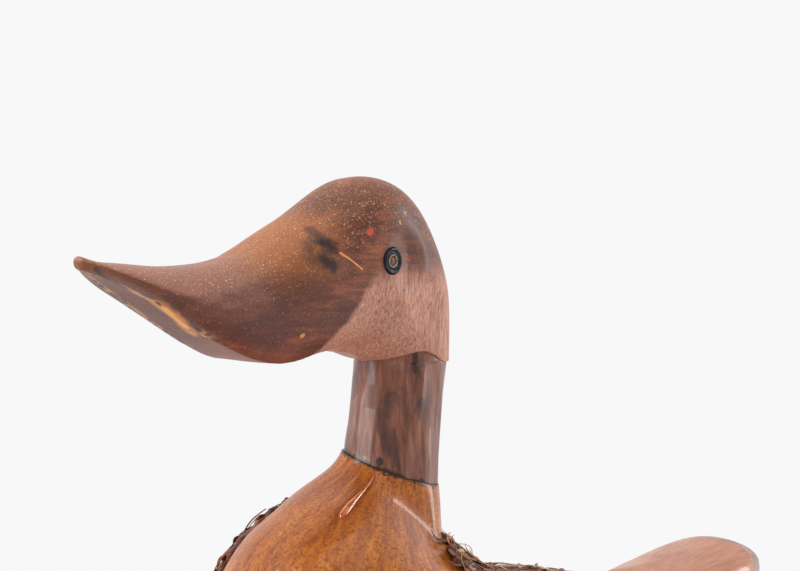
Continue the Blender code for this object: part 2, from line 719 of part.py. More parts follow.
def make_line_tie(body, ring_axis, steel, brass):
    """A wire staple in the breast, and the ring that hangs on its bar."""
    bar = ring_axis.location
    inner_x = bar.x + STAPLE_STAND + STAPLE_BITE
    path = staple_path(bar.x, inner_x, bar.z)
    add_object("line_staple", wire(path, STAPLE_WIRE_RADIUS, SMALL_SIDES), steel)
    for side, sign in (("left", -1), ("right", 1)):
        place = Vector((inner_x + GAP, sign * STAPLE_HALF_WIDTH, bar.z))
        frame = Matrix.Translation(place) @ Matrix.Rotation(-math.pi / 2, 4, "Y")
        leg = rod(STAPLE_WIRE_RADIUS + GAP, 0, STAPLE_BITE + STAPLE_STAND / 2)
        hole = turned(leg, frame, SMALL_SIDES)
        cut(body, add_cutter(f"staple_{side}_leg_cutter", hole))
    drop = RING_RADIUS - RING_WIRE_RADIUS - STAPLE_WIRE_RADIUS - GAP
    centre = bar - Vector((0, 0, drop))
    turns = [math.tau * step / ROUND_SIDES for step in range(ROUND_SIDES)]
    circle = [centre + Vector((math.cos(a), 0, math.sin(a))) * RING_RADIUS for a in turns]
    ring = wire(circle, RING_WIRE_RADIUS, SMALL_SIDES, closed=True)
    add_object("line_ring", ring, brass, ring_axis)


def main():
    clear_scene()
    dark_wood = finish("stained_wood", (0.110, 0.045, 0.030), 0.35)
    body_wood = finish("varnished_wood", (0.420, 0.150, 0.050), 0.25)
    tail_wood = finish("tail_wood", (0.480, 0.220, 0.120), 0.40)
    dowel_wood = finish("dowel_wood", (0.550, 0.380, 0.200), 0.60)
    fibre = finish("root_fibre", (0.080, 0.045, 0.025), 0.90)
    brass = finish("aged_brass", (0.450, 0.320, 0.140), 0.45, 1.0)
    dark_metal = finish("dark_metal", (0.050, 0.055, 0.060), 0.40, 1.0)
    steel = finish("steel", (0.450, 0.450, 0.460), 0.35, 1.0)
    lead = finish("lead", (0.200, 0.200, 0.210), 0.60, 1.0)
    leather = finish("leather", (0.120, 0.060, 0.030), 0.80)

    head_axis = add_axis("head_axis", Vector((SWIVEL_X, 0, HEAD_JOINT_HEIGHT)))
    ring_axis = add_axis("ring_axis", staple_bar())

    head = make_head(head_axis, dark_wood)
    for side, sign in (("left", -1), ("right", 1)):
        make_eye(side, sign, head, head_axis, (dark_metal, brass, dark_wood))
    neck = make_neck(dark_wood)
    body = make_body(body_wood)
    make_swivel(head_axis, steel, brass, leather)
    make_bottom_plug(dowel_wood)
    make_neck_dowels(neck, body, dowel_wood)
    make_tail(body, tail_wood, dowel_wood)
    make_mats(body, fibre, brass)
    make_keel(body, lead, steel)
    make_line_tie(body, ring_axis, steel, brass)


main()
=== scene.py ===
# Floating duck decoy: carved head and neck, varnished body, root-fibre back and let-in tail
import json
import math

import bmesh
import bpy
import numpy as np
from mathutils import Matrix, Vector


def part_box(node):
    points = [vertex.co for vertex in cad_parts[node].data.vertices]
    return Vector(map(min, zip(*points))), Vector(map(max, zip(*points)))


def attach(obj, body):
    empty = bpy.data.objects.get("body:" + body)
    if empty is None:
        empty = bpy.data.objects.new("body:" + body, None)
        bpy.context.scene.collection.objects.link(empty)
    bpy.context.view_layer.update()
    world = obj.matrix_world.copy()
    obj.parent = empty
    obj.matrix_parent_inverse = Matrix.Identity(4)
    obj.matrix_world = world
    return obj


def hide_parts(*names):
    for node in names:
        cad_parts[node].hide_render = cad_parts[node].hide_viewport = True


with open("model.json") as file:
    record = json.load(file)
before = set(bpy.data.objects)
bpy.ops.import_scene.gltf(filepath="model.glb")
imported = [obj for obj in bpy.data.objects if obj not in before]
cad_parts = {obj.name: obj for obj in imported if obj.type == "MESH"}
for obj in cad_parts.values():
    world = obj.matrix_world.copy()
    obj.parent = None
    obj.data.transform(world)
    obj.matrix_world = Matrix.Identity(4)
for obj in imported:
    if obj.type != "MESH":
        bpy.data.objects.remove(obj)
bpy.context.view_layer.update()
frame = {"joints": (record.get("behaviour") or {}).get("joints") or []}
joints = {joint["name"]: joint for joint in frame["joints"]}
swivelX, _, headJoint = joints["head_turn"]["pos_m"]
barPlace = Vector(joints["ring_swing"]["pos_m"])
mm = 0.001
turn = 2 * math.pi
smoothAngle = 40  # degrees between faces, above which an edge is shaded sharp
pole = 0.02 * mm  # turned profiles start and end this far from their axis
spare = 0.3 * mm  # room round what goes into a bore
beyond = 0.01  # how far below the underside a cutter starts


def paint(red, green, blue):
    # display values from 0 to 255 made linear, then deepened a little by a power and lifted by a tenth
    return tuple(1.1 * (((value / 255 + 0.055) / 1.055) ** 2.4) ** 1.16 for value in (red, green, blue))


# ---- numbers into shapes

def smoothThrough(stations, share):
    # Catmull-Rom: a cubic through each pair of stations, bent by the stations on either side
    stations = np.asarray(stations, float)
    spans = len(stations) - 1
    place = np.clip(share, 0, 1) * spans
    first = np.minimum(place.astype(int), spans - 1)
    f = (place - first)[..., None]
    a, b, c, d = (stations[np.clip(first + step, 0, spans)] for step in (-1, 0, 1, 2))
    cubic = (3 * b - a - 3 * c + d) * 0.5 * f**3
    return b + (c - a) * 0.5 * f + (2 * a - 5 * b + 4 * c - d) * 0.5 * f**2 + cubic


def softNoise(points, size, seed):
    # lattice noise from -1 to 1: values at the corners of cells of that size, eased between them; a corner's
    # value is its whole-number place mixed by large primes
    cell = np.asarray(points, float) / size + seed * 17.31
    low = np.floor(cell).astype(np.int64)
    f = cell - low
    f = f * f * (3 - 2 * f)
    total = 0.0
    for dx in (0, 1):
        for dy in (0, 1):
            for dz in (0, 1):
                key = (low[..., 0] + dx) * 73856093 ^ (low[..., 1] + dy) * 19349663
                key = key ^ (low[..., 2] + dz) * 83492791
                key = (key ^ (key >> 13)) * 1274126177 & 0xFFFFFFFF
                value = ((key ^ (key >> 16)) & 0xFFFF) / 32767.5 - 1
                weight = np.abs(1 - dx - f[..., 0]) * np.abs(1 - dy - f[..., 1]) * np.abs(1 - dz - f[..., 2])
                total = total + value * weight
    return total


def faceNormals(grid):
    # cross product of the two directions of a grid that closes on itself in its second one
    along = np.gradient(grid, axis=0)
    around = (np.roll(grid, -1, axis=1) - np.roll(grid, 1, axis=1)) / 2
    normal = np.cross(along, around)
    return normal / np.maximum(np.linalg.norm(normal, axis=-1, keepdims=True), 1e-12)


def outward(grid, normal):
    # turns the normals so that most of them point away from the middle of the grid
    away = ((grid - grid.reshape(-1, 3).mean(0)) * normal).sum(-1).mean()
    return normal if away > 0 else -normal


def addPiece(name, vertices, faces, marks=None, smooth=smoothAngle):
    # a mesh object from whole arrays, with one number per vertex for each mark
    mesh = bpy.data.meshes.new(name)
    mesh.from_pydata(vertices.tolist(), [], faces if isinstance(faces, list) else faces.tolist())
    for mark, values in (marks or {}).items():
        attribute = mesh.attributes.new(mark, "FLOAT", "POINT")
        attribute.data.foreach_set("value", np.asarray(values, np.float32).ravel())
    obj = bpy.data.objects.new(name, mesh)
    bpy.context.scene.collection.objects.link(obj)
    pointOut(obj, smooth)
    return obj


def pointOut(obj, smooth):
    # turns a closed shell's faces outwards, which its signed volume shows, and shades it smooth below an angle
    bm = bmesh.new()
    bm.from_mesh(obj.data)
    bmesh.ops.recalc_face_normals(bm, faces=bm.faces)
    if bm.calc_volume(signed=True) < 0:
        bmesh.ops.reverse_faces(bm, faces=bm.faces)
    bm.to_mesh(obj.data)
    bm.free()
    shadeSmooth(obj, smooth)


def shadeSmooth(obj, smooth):
    obj.data.shade_smooth()
    obj.data.set_sharp_from_angle(angle=math.radians(smooth))


def gridFaces(rows, columns, wrapRows=False, wrapColumns=True, start=0):
    # quads between neighbouring points of a grid, as vertex numbers
    r = np.arange(rows if wrapRows else rows - 1)
    c = np.arange(columns if wrapColumns else columns - 1)
    r, c = np.meshgrid(r, c, indexing="ij")
    nextR, nextC = (r + 1) % rows, (c + 1) % columns
    corners = [r * columns + c, r * columns + nextC, nextR * columns + nextC, nextR * columns + c]
    quads = np.stack(corners, -1)
    return quads.reshape(-1, 4) + start


def skinPiece(name, grid, marks=None):
    # a tube-like grid closed at both ends by a fan to the middle of the end ring
    rows, columns = grid.shape[:2]
    quads = gridFaces(rows, columns)
    ends = np.stack([grid[0].mean(0), grid[-1].mean(0)])
    vertices = np.concatenate([grid.reshape(-1, 3), ends])
    ring = np.arange(columns)
    after = (ring + 1) % columns
    count = rows * columns
    lowFan = np.stack([after, ring, np.full(columns, count)], -1)
    top = (rows - 1) * columns
    highFan = np.stack([top + ring, top + after, np.full(columns, count + 1)], -1)
    faces = quads.tolist() + lowFan.tolist() + highFan.tolist()
    full = {}
    for mark, values in (marks or {}).items():
        values = np.asarray(values, float)
        full[mark] = np.concatenate([values.ravel(), [values[0].mean(), values[-1].mean()]])
    return addPiece(name, vertices, faces, full)


def roundedEnd(grid, reach, steps):
    # adds rings that shrink by a cosine and move on by a sine, so that a blunt end becomes a dome
    ring = grid[-1]
    centre = ring.mean(0)
    onward = centre - grid[-2].mean(0)
    onward /= np.linalg.norm(onward)
    angles = np.linspace(0, math.pi / 2, steps + 1)[1:] * 0.98
    rings = [centre + (ring - centre) * math.cos(a) + onward * reach * math.sin(a) for a in angles]
    return np.concatenate([grid, np.stack(rings)])


def turnedGrid(profile, axis, sides):
    # a (radius, height) profile turned about the axis frame's Z
    profile = np.asarray(profile, float)
    angle = np.arange(sides) / sides * turn
    radius, height = profile[:, 0, None], profile[:, 1, None]
    local = np.stack([radius * np.cos(angle), radius * np.sin(angle), height + 0 * angle], -1)
    matrix = np.array(axis)
    return local @ matrix[:3, :3].T + matrix[:3, 3]


def turnedRing(name, profile, axis, sides=96):
    # a closed profile off the axis, turned into a ring
    grid = turnedGrid(profile, axis, sides)
    return addPiece(name, grid.reshape(-1, 3), gridFaces(*grid.shape[:2], wrapRows=True))


def turnedSolid(name, profile, axis, sides=64):
    # an open profile from axis to axis, turned and closed at both poles
    return skinPiece(name, turnedGrid(profile, axis, sides))


def borePiece(name, radius, low, high, axis):
    # a cylinder between two heights, to be cut out of another piece
    return turnedSolid(name, ((pole, low), (radius, low), (radius, high), (pole, high)), axis)


def tubeGrid(path, radius, sides, flat=None, up=None):
    # circles, or ellipses where flat is under 1, square to each step of the path; the path's leading axes
    # are separate tubes
    along = np.gradient(path, axis=-2)
    along /= np.maximum(np.linalg.norm(along, axis=-1, keepdims=True), 1e-12)
    guide = np.broadcast_to(np.array([0.0, 0.0, 1.0]) if up is None else up, path.shape)
    across = np.cross(along, guide)
    across /= np.maximum(np.linalg.norm(across, axis=-1, keepdims=True), 1e-9)
    upward = np.cross(across, along)
    angle = np.arange(sides) / sides * turn
    wide = across[..., None, :] * np.cos(angle)[:, None]
    tall = upward[..., None, :] * np.sin(angle)[:, None] * (1.0 if flat is None else flat)
    return path[..., None, :] + (wide + tall) * radius[..., None, None]


def carve(obj, *cutters):
    # cuts the cutters out of the piece and removes them
    for cutter in cutters:
        cut = obj.modifiers.new("cut", "BOOLEAN")
        cut.operation = "DIFFERENCE"
        cut.solver = "EXACT"
        cut.object = cutter
    bpy.context.view_layer.update()
    graph = bpy.context.evaluated_depsgraph_get()
    mesh = bpy.data.meshes.new_from_object(obj.evaluated_get(graph))
    obj.modifiers.clear()
    obj.data = mesh
    for cutter in cutters:
        bpy.data.objects.remove(cutter)
    shadeSmooth(obj, smoothAngle)


# ---- shader maths

class Wire:
    # one socket: arithmetic on it adds Math nodes
    def __init__(self, finish, socket):
        self.finish = finish
        self.socket = socket

    def maths(self, operation, *values):
        return self.finish.node("ShaderNodeMath", {"operation": operation}, dict(enumerate(values)))

    def __add__(self, other):
        return self.maths("ADD", self, other)

    def __mul__(self, other):
        return self.maths("MULTIPLY", self, other)

    def __sub__(self, other):
        return self.maths("SUBTRACT", self, other)

    def __rsub__(self, other):
        return self.maths("SUBTRACT", other, self)

    __radd__ = __add__
    __rmul__ = __mul__

    def between(self, low, high):
        # 0 below low, 1 above high, eased between
        return self.finish.node(
            "ShaderNodeMapRange", {"interpolation_type": "SMOOTHSTEP"},
            {"Value": self, "From Min": low, "From Max": high},
        )


class Finish:
    # a material whose nodes come from one method
    def __init__(self, name, **uniform):
        self.material = bpy.data.materials.new(name)
        self.material.use_nodes = True
        self.tree = self.material.node_tree
        self.shader = self.tree.nodes["Principled BSDF"]
        for socket, value in uniform.items():
            self.shader.inputs[socket.replace("_", " ")].default_value = value
        self.object = self.node("ShaderNodeTexCoord", output="Object")

    def node(self, kind, settings=None, inputs=None, output=0):
        made = self.tree.nodes.new(kind)
        for key, value in (settings or {}).items():
            if key == "stops":
                ramp = made.color_ramp
                while len(ramp.elements) < len(value):
                    ramp.elements.new(0.5)
                for element, (place, colour) in zip(ramp.elements, value):
                    element.position = place
                    element.color = (*colour, 1.0)
            else:
                setattr(made, key, value)
        for key, value in (inputs or {}).items():
            if isinstance(value, Wire):
                self.tree.links.new(value.socket, made.inputs[key])
            else:
                made.inputs[key].default_value = value
        return Wire(self, made.outputs[output])

    def scaled(self, x, y, z):
        return self.node("ShaderNodeMapping", None, {"Vector": self.object, "Scale": (x, y, z)})

    def vectors(self, operation, *values, output=0):
        return self.node("ShaderNodeVectorMath", {"operation": operation}, dict(enumerate(values)), output)

    def noise(self, vector, scale, detail=4.0, rough=0.55, twist=0.0):
        inputs = {"Vector": vector, "Scale": scale, "Detail": detail, "Roughness": rough, "Distortion": twist}
        return self.node("ShaderNodeTexNoise", None, inputs)

    def ramp(self, value, *stops):
        return self.node("ShaderNodeValToRGB", {"stops": stops}, {"Fac": value})

    def mix(self, factor, low, high):
        # sockets 6 and 7 are the two colours, and output 2 is the colour
        low, high = ((*c, 1.0) if isinstance(c, tuple) else c for c in (low, high))
        return self.node("ShaderNodeMix", {"data_type": "RGBA"}, {"Factor": factor, 6: low, 7: high}, 2)

    def part(self, axis):
        # one coordinate of the place
        return self.node("ShaderNodeSeparateXYZ", None, {0: self.object}, axis)

    def mark(self, name):
        return self.node("ShaderNodeAttribute", {"attribute_name": name}, output="Fac")

    def spot(self, place, size):
        # 1 at a place, 0 at a size's distance from it
        apart = self.vectors("DISTANCE", self.object, place, output="Value")
        return 1 - apart.between(size * 0.6, size)

    def scratch(self, start, end, width, ragged):
        # 1 on the line from start to end, 0 at about a width's distance from it, with an uneven edge
        start, end = Vector(start), Vector(end)
        run = end - start
        fromStart = self.vectors("SUBTRACT", self.object, start)
        share = self.vectors("DOT_PRODUCT", fromStart, run, output="Value")
        share = self.node("ShaderNodeClamp", None, {"Value": share * (1 / run.length_squared)})
        onLine = self.node("ShaderNodeVectorMath", {"operation": "SCALE"}, {0: run, "Scale": share})
        apart = self.vectors("DISTANCE", fromStart, onLine, output="Value")
        soft = 0.9 if width > 1.5 * mm else 0.4
        wander = (ragged - 0.5) * (width * 1.6)
        return 1 - (apart + wander).between(width * (1 - soft), width * (1 + soft / 3))

    def bump(self, height, strength, distance):
        inputs = {"Height": height, "Strength": strength, "Distance": distance}
        return self.node("ShaderNodeBump", None, inputs)

    def wear(self, **links):
        for socket, wire in links.items():
            self.tree.links.new(wire.socket, self.shader.inputs[socket.replace("_", " ")])
        return self.material


def plainFinish(name, size, detail, stops, rough, relief, grain=None, **uniform):
    # one noise gives colour, roughness and relief: rough is a base and a spread, relief a strength and depth
    finish = Finish(name, **uniform)
    patch = finish.noise(finish.scaled(*grain) if grain else finish.object, size, detail)
    base = finish.ramp(patch, *stops)
    roughness = rough[0] + patch * rough[1]
    return finish.wear(Base_Color=base, Roughness=roughness, Normal=finish.bump(patch, *relief))


def put(piece, material, body, slot, *nodes):
    # finish and body of a piece, and the frame nodes that it stands for; the slot is not used
    piece.data.materials.clear()
    piece.data.materials.append(material)
    if nodes:
        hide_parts(*nodes)
    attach(piece, body)
    return piece


# ---- camera and light

view = {
    "turn": -45.0, "rise": 8.0, "distance": 0.6, "lens": 77.13, "sensor": 36.0, "aimBelow": 6.04,
    "aimLeft": 0.3, "nearest": 0.01,
}


def setCamera():
    # stands off the foot of the neck at the view's turn and rise, and looks a little above and beside it
    foot = Vector((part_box("neck")[0].x + 0.0165, 0, 0.128))
    around = math.radians(view["turn"])
    rise = math.radians(view["rise"])
    back = Vector((math.sin(around) * math.cos(rise), -math.cos(around) * math.cos(rise), math.sin(rise)))
    data = bpy.data.cameras.new("camera")
    data.lens = view["lens"]
    data.sensor_width = view["sensor"]
    data.clip_start = view["nearest"]
    camera = bpy.data.objects.new("camera", data)
    camera.location = foot + back * view["distance"]
    pitch = view["rise"] - view["aimBelow"]
    heading = view["turn"] - view["aimLeft"]
    camera.rotation_euler = (math.radians(90 - pitch), 0, math.radians(heading))
    bpy.context.scene.collection.objects.link(camera)
    bpy.context.scene.camera = camera


def softbox(name, place, aim, width, height, power):
    # an even rectangle of light that faces its aim
    data = bpy.data.lights.new(name, "AREA")
    data.shape = "RECTANGLE"
    data.size, data.size_y = width, height
    data.energy = power
    light = bpy.data.objects.new(name, data)
    light.location = place
    light.rotation_euler = (Vector(aim) - Vector(place)).to_track_quat("-Z", "Y").to_euler()
    bpy.context.scene.collection.objects.link(light)


studio = {
    "paper": (0.937, 0.938, 0.948), "floor": (0.80, 0.80, 0.81), "nearFloor": 0.22, "farFloor": 0.42,
    "behind": 0.9, "front": 0.42, "away": (0.68, 0.68, 0.28), "fade": (-0.15, 0.75),
    "glow": (0.97, 0.975, 1.0),
    "lights": (
        ("overhead", (-0.20, -0.10, 1.2), (-0.06, 0, 0.12), 0.9, 0.9, 2.0),
        ("left", (-1.0, 0.45, 0.60), (-0.08, 0, 0.13), 0.5, 0.8, 8.0),
        ("right", (0.85, -0.45, 0.45), (-0.03, 0, 0.15), 0.3, 0.8, 5.0),
    ),
}


def setStage():
    # the room glows evenly where it is seen, and lights the piece more from behind than from the front
    scene = bpy.context.scene
    scene.view_settings.view_transform = "Standard"
    world = bpy.data.worlds.new("studio")
    world.use_nodes = True
    tree = world.node_tree
    seen = tree.nodes["Background"]
    seen.inputs["Color"].default_value = (*studio["paper"], 1)
    away = tree.nodes.new("ShaderNodeVectorMath")
    away.operation = "DOT_PRODUCT"
    away.inputs[1].default_value = studio["away"]
    coordinates = tree.nodes.new("ShaderNodeTexCoord")
    tree.links.new(coordinates.outputs["Generated"], away.inputs[0])
    strength = tree.nodes.new("ShaderNodeMapRange")
    strength.interpolation_type = "SMOOTHSTEP"
    low, high = studio["fade"]
    ends = {"From Min": low, "From Max": high, "To Min": studio["front"], "To Max": studio["behind"]}
    for socket, value in ends.items():
        strength.inputs[socket].default_value = value
    tree.links.new(away.outputs["Value"], strength.inputs["Value"])
    lighting = tree.nodes.new("ShaderNodeBackground")
    lighting.inputs["Color"].default_value = (*studio["glow"], 1)
    tree.links.new(strength.outputs[0], lighting.inputs["Strength"])
    path = tree.nodes.new("ShaderNodeLightPath")
    either = tree.nodes.new("ShaderNodeMixShader")
    tree.links.new(path.outputs["Is Camera Ray"], either.inputs[0])
    tree.links.new(lighting.outputs[0], either.inputs[1])
    tree.links.new(seen.outputs[0], either.inputs[2])
    tree.links.new(either.outputs[0], tree.nodes["World Output"].inputs["Surface"])
    scene.world = world
    for light in studio["lights"]:
        softbox(*light)


def makeFloor():
    # matt paper near the piece that turns into even glow further out, so that no edge shows
    paper = Finish("pale_paper", Roughness=0.95, Specular_IOR_Level=0.0, Emission_Strength=1.0)
    flat = paper.scaled(1, 1, 0)
    far = paper.vectors("LENGTH", flat, output="Value").between(studio["nearFloor"], studio["farFloor"])
    base = paper.mix(far, studio["floor"], (0.0, 0.0, 0.0))
    glow = paper.mix(far, (0.0, 0.0, 0.0), studio["paper"])
    grain = paper.noise(paper.object, 900)
    material = paper.wear(Base_Color=base, Emission_Color=glow, Normal=paper.bump(grain, 0.05, mm))
    reach, rings, sides = 9.0, 24, 64
    radius = (np.linspace(0, 1, rings)[1:, None] ** 2) * reach
    angle = np.arange(sides) / sides * turn
    grid = np.stack([radius * np.cos(angle), radius * np.sin(angle), 0 * radius * angle], -1)
    count = (rings - 1) * sides
    vertices = np.concatenate([grid.reshape(-1, 3), [[0, 0, 0]]])
    ring = np.arange(sides)
    fan = np.stack([ring, (ring + 1) % sides, np.full(sides, count)], -1)
    floor = addPiece("floor", vertices, gridFaces(rings - 1, sides).tolist() + fan.tolist())
    floor.data.materials.append(material)
    if floor.data.polygons[0].normal.z < 0:
        floor.data.flip_normals()


setCamera()
setStage()
makeFloor()
print("stage set")


# ---- head

headLook = {
    "rings": 260, "around": 184, "billBase": 0.052, "domeReach": 0.0012,
    "eyeShare": 0.321, "eyeAround": 0.244, "cheekShare": 0.20, "cheekAround": 0.215,
    "faceCuts": 46, "firstCut": 18, "lastCut": 0.62, "cutDepths": (0.04, 0.16), "cutReach": 9 * mm,
    "waves": 0.25 * mm, "waveLength": 15 * mm, "rimFade": 0.24, "cavityRadius": 0.0160, "cavityTop": 0.0078,
    "grooveDepth": 0.35 * mm, "grooveWidth": 0.6 * mm, "socketRadius": 4.65 * mm, "socketDepth": 3.6 * mm,
    "squareness": 0.91, "eyeLean": Vector((0.15, 0, 0)), "eyeSunk": 0.5 * mm,
}
napeGroove = ((0.219, 0.753), (0.142, 0.743), (0.068, 0.719))


def headStations():
    # throat x and z, crown x and z forward of the swivel and above the joint, half width, place of the widest
    # level, how fast the sides fall in below it, and how much of the height the flat underside takes
    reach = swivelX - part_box("head")[0].x - headLook["billBase"]

    def bill(share):
        return headLook["billBase"] + share * reach

    return [
        (0.0165, 0.0000, -0.0165, 0.0000, 0.0165, 0.00, 1.00, 0.00),
        (0.0205, 0.0015, -0.0136, 0.0310, 0.0192, 0.00, 0.91, 0.00),
        (0.0262, 0.0025, 0.0037, 0.0571, 0.0226, 0.05, 0.91, 0.00),
        (0.0310, 0.0043, 0.0245, 0.0632, 0.0225, 0.10, 0.91, 0.00),
        (0.0465, 0.0036, 0.0525, 0.0492, 0.0210, 0.05, 0.72, 0.05),
        (bill(0.17), -0.0013, bill(0.32), 0.0371, 0.0180, 0.15, 0.62, 0.12),
        (bill(0.40), 0.0058, bill(0.60), 0.0345, 0.0165, 0.05, 1.00, 0.12),
        (bill(0.70), 0.0214, bill(0.85), 0.0357, 0.0137, -0.10, 1.60, 0.12),
        (bill(0.85), 0.0286, bill(0.94), 0.0365, 0.0098, -0.20, 1.60, 0.10),
        (bill(0.985), 0.0337, bill(1.00) - headLook["domeReach"], 0.0378, 0.0028, 0.00, 1.00, 0.00),
    ]


def headSurface(share, around):
    # a ring between throat and crown: cosine for height and sine for width, each raised to a power,
    # and the height held above the flat of the underside
    s = smoothThrough(headStations(), share)
    throatX, throatZ, crownX, crownZ, halfWidth, raised, pinch, flat = np.moveaxis(s, -1, 0)
    c, w = np.cos(around * turn), np.sin(around * turn)
    power = np.where(c > 0, pinch, headLook["squareness"])
    rise = np.sign(c) * np.abs(c) ** headLook["squareness"]
    place = (1 - rise) / 2 + raised * (1 - rise**2) / 2
    place = np.maximum(place, flat)
    x = swivelX - (throatX + (crownX - throatX) * place)
    y = halfWidth * np.sign(w) * np.abs(w) ** power
    z = headJoint + throatZ + (crownZ - throatZ) * place
    return np.stack([x, y, z], -1)


def rimRise(around):
    # how far the head's rim climbs the neck on either side, in millimetres at each fortieth of a turn from
    # the throat
    heights = np.zeros(40)
    heights[1:13] = (0.3, 0.8, 1.5, 2.0, 2.6, 3.2, 3.8, 4.2, 4.0, 2.8, 1.2, 0.2)
    return smoothThrough(np.append(heights, 0.0)[:, None], np.minimum(around, 1 - around))[..., 0] * mm


def surfaceAxis(surface, first, second, inward):
    # frame on a surface: Z is the cross product of its two directions, turned away from inward
    step = 0.002
    spots = np.array([[first, second], [first + step, second], [first - step, second],
                      [first, second + step], [first, second - step]])
    p = surface(spots[:, 0], spots[:, 1])
    normal = Vector(np.cross(p[1] - p[2], p[3] - p[4])).normalized()
    if normal.dot(Vector(p[0]) - Vector(inward)) < 0:
        normal.negate()
    return Matrix.Translation(p[0]) @ normal.to_track_quat("Z", "Y").to_matrix().to_4x4()


def knifeCuts(grid, normal, centres, tilts, depths, reach):
    # flat facets: what stands above a plane, a depth under the surface at a centre, is cut down to it, and
    # the cut is eased off towards its reach
    flatGrid = grid.reshape(-1, 3)
    for index, tilt, depth in zip(centres, tilts, depths):
        centre = flatGrid[index]
        face = normal.reshape(-1, 3)[index] + tilt
        face = face / np.linalg.norm(face)
        apart = flatGrid - centre
        over = apart @ face + depth
        near = np.clip(2 - 2 * np.linalg.norm(apart, axis=1) / reach, 0, 1)
        flatGrid = flatGrid - (np.maximum(over, 0) * near)[:, None] * face
    return flatGrid.reshape(grid.shape)


def headPlace(share, around):
    return Vector(headSurface(np.array(share), np.array(around)))


def headFinish():
    wood = Finish("stained_head", Coat_Roughness=0.25, Specular_IOR_Level=0.35, Coat_IOR=1.5)
    x, z = wood.part("X"), wood.part("Z")
    up, ridge = wood.mark("up"), wood.mark("ridge")
    grain = wood.noise(wood.scaled(0.16, 1, 1), 480, 8, 0.62, 0.5)
    cloud = wood.noise(wood.object, 42, 4)
    wide = wood.noise(wood.scaled(0.5, 1, 1), 22, 2)
    fine = wood.noise(wood.object, 1500, 3, 0.7)
    speck = wood.noise(wood.object, 1700, 2, 0.6)
    base = wood.ramp(
        grain * 0.5 + cloud * 0.5,
        (0.36, paint(84, 44, 32)), (0.5, paint(122, 68, 46)), (0.64, paint(174, 104, 66)),
    )
    # painted highlight: warmer and lighter over the forehead and on what faces up; mauve along the top of the
    # bill
    foreheadHighlight = (x.between(-0.078, -0.098) * z.between(0.188, 0.204) + up.between(0.35, 0.8) * 0.35) * 0.8
    base = wood.mix(foreheadHighlight * wide.between(0.25, 0.6), base, paint(184, 118, 66))
    billTop = x.between(-0.105, -0.128) * up.between(-0.2, 0.45)
    base = wood.mix(billTop * (0.5 + grain * 0.4), base, paint(172, 124, 108))
    # painted shade: the side under the bill's edge, which faces away from the light above, is darker
    side = x.between(-0.088, -0.100) * (1 - up.between(-0.1, 0.4)) * z.between(0.173, 0.178)
    base = wood.mix(side * (0.35 + cloud * 0.5), base, paint(96, 52, 42))
    # the cheek is rubbed down with upright scratches; its pale pink tone also stands for a painted sheen
    edge = (x + z * -0.77 + 0.2228 + (cloud - 0.5) * 0.012).between(-0.0016, 0.0022)
    cheek = edge * (1 - (z + (wide - 0.5) * 0.012).between(0.190, 0.202))
    hatch = wood.noise(wood.scaled(1, 1, 0.09), 1500, 5, 0.7, 0.3)
    cheekSheenTone = wood.ramp(
        hatch, (0.34, paint(158, 104, 86)), (0.50, paint(202, 148, 126)), (0.66, paint(230, 180, 158)),
    )
    base = wood.mix(cheek * 0.82, base, cheekSheenTone)
    # painted light from below: the underside at the bill's base is lighter
    underLightFromBelow = (1 - z.between(0.1690, 0.1765)) * x.between(-0.096, -0.104)
    base = wood.mix(underLightFromBelow * 0.6, base, paint(150, 84, 62))
    # dust and light flecks on what faces up, dark pores everywhere
    flecks = speck.between(0.60, 0.68) * (0.2 + up.between(-0.1, 0.7) * 0.8)
    base = wood.mix(flecks * 0.8, base, paint(232, 200, 176))
    base = wood.mix((1 - fine.between(0.30, 0.44)) * 0.5, base, paint(66, 36, 30))
    # worn places along the bill's edge
    chip = wood.noise(wood.object, 340, 5, 0.6)
    worn = ridge.between(0.25, 0.8)
    base = wood.mix(worn * chip.between(0.46, 0.56) * 0.9, base, paint(186, 142, 96))
    base = wood.mix(worn * (1 - chip.between(0.36, 0.44)) * 0.85, base, paint(74, 50, 46))
    for start, end, width, tone, strength in headMarks():
        soft = wood.scratch(start, end, width, chip)
        base = wood.mix(soft * strength, base, paint(*tone))
    rough = 0.40 + grain * 0.12 + cloud * 0.12 + cheek * 0.06
    height = grain * 0.5 + fine * 0.35 + hatch * cheek * 0.8 - worn * chip * 0.6
    coat = 0.05 + cloud * 0.25
    normal = wood.bump(height, 0.35, 0.35 * mm)
    return wood.wear(Base_Color=base, Roughness=rough, Coat_Weight=coat, Normal=normal)


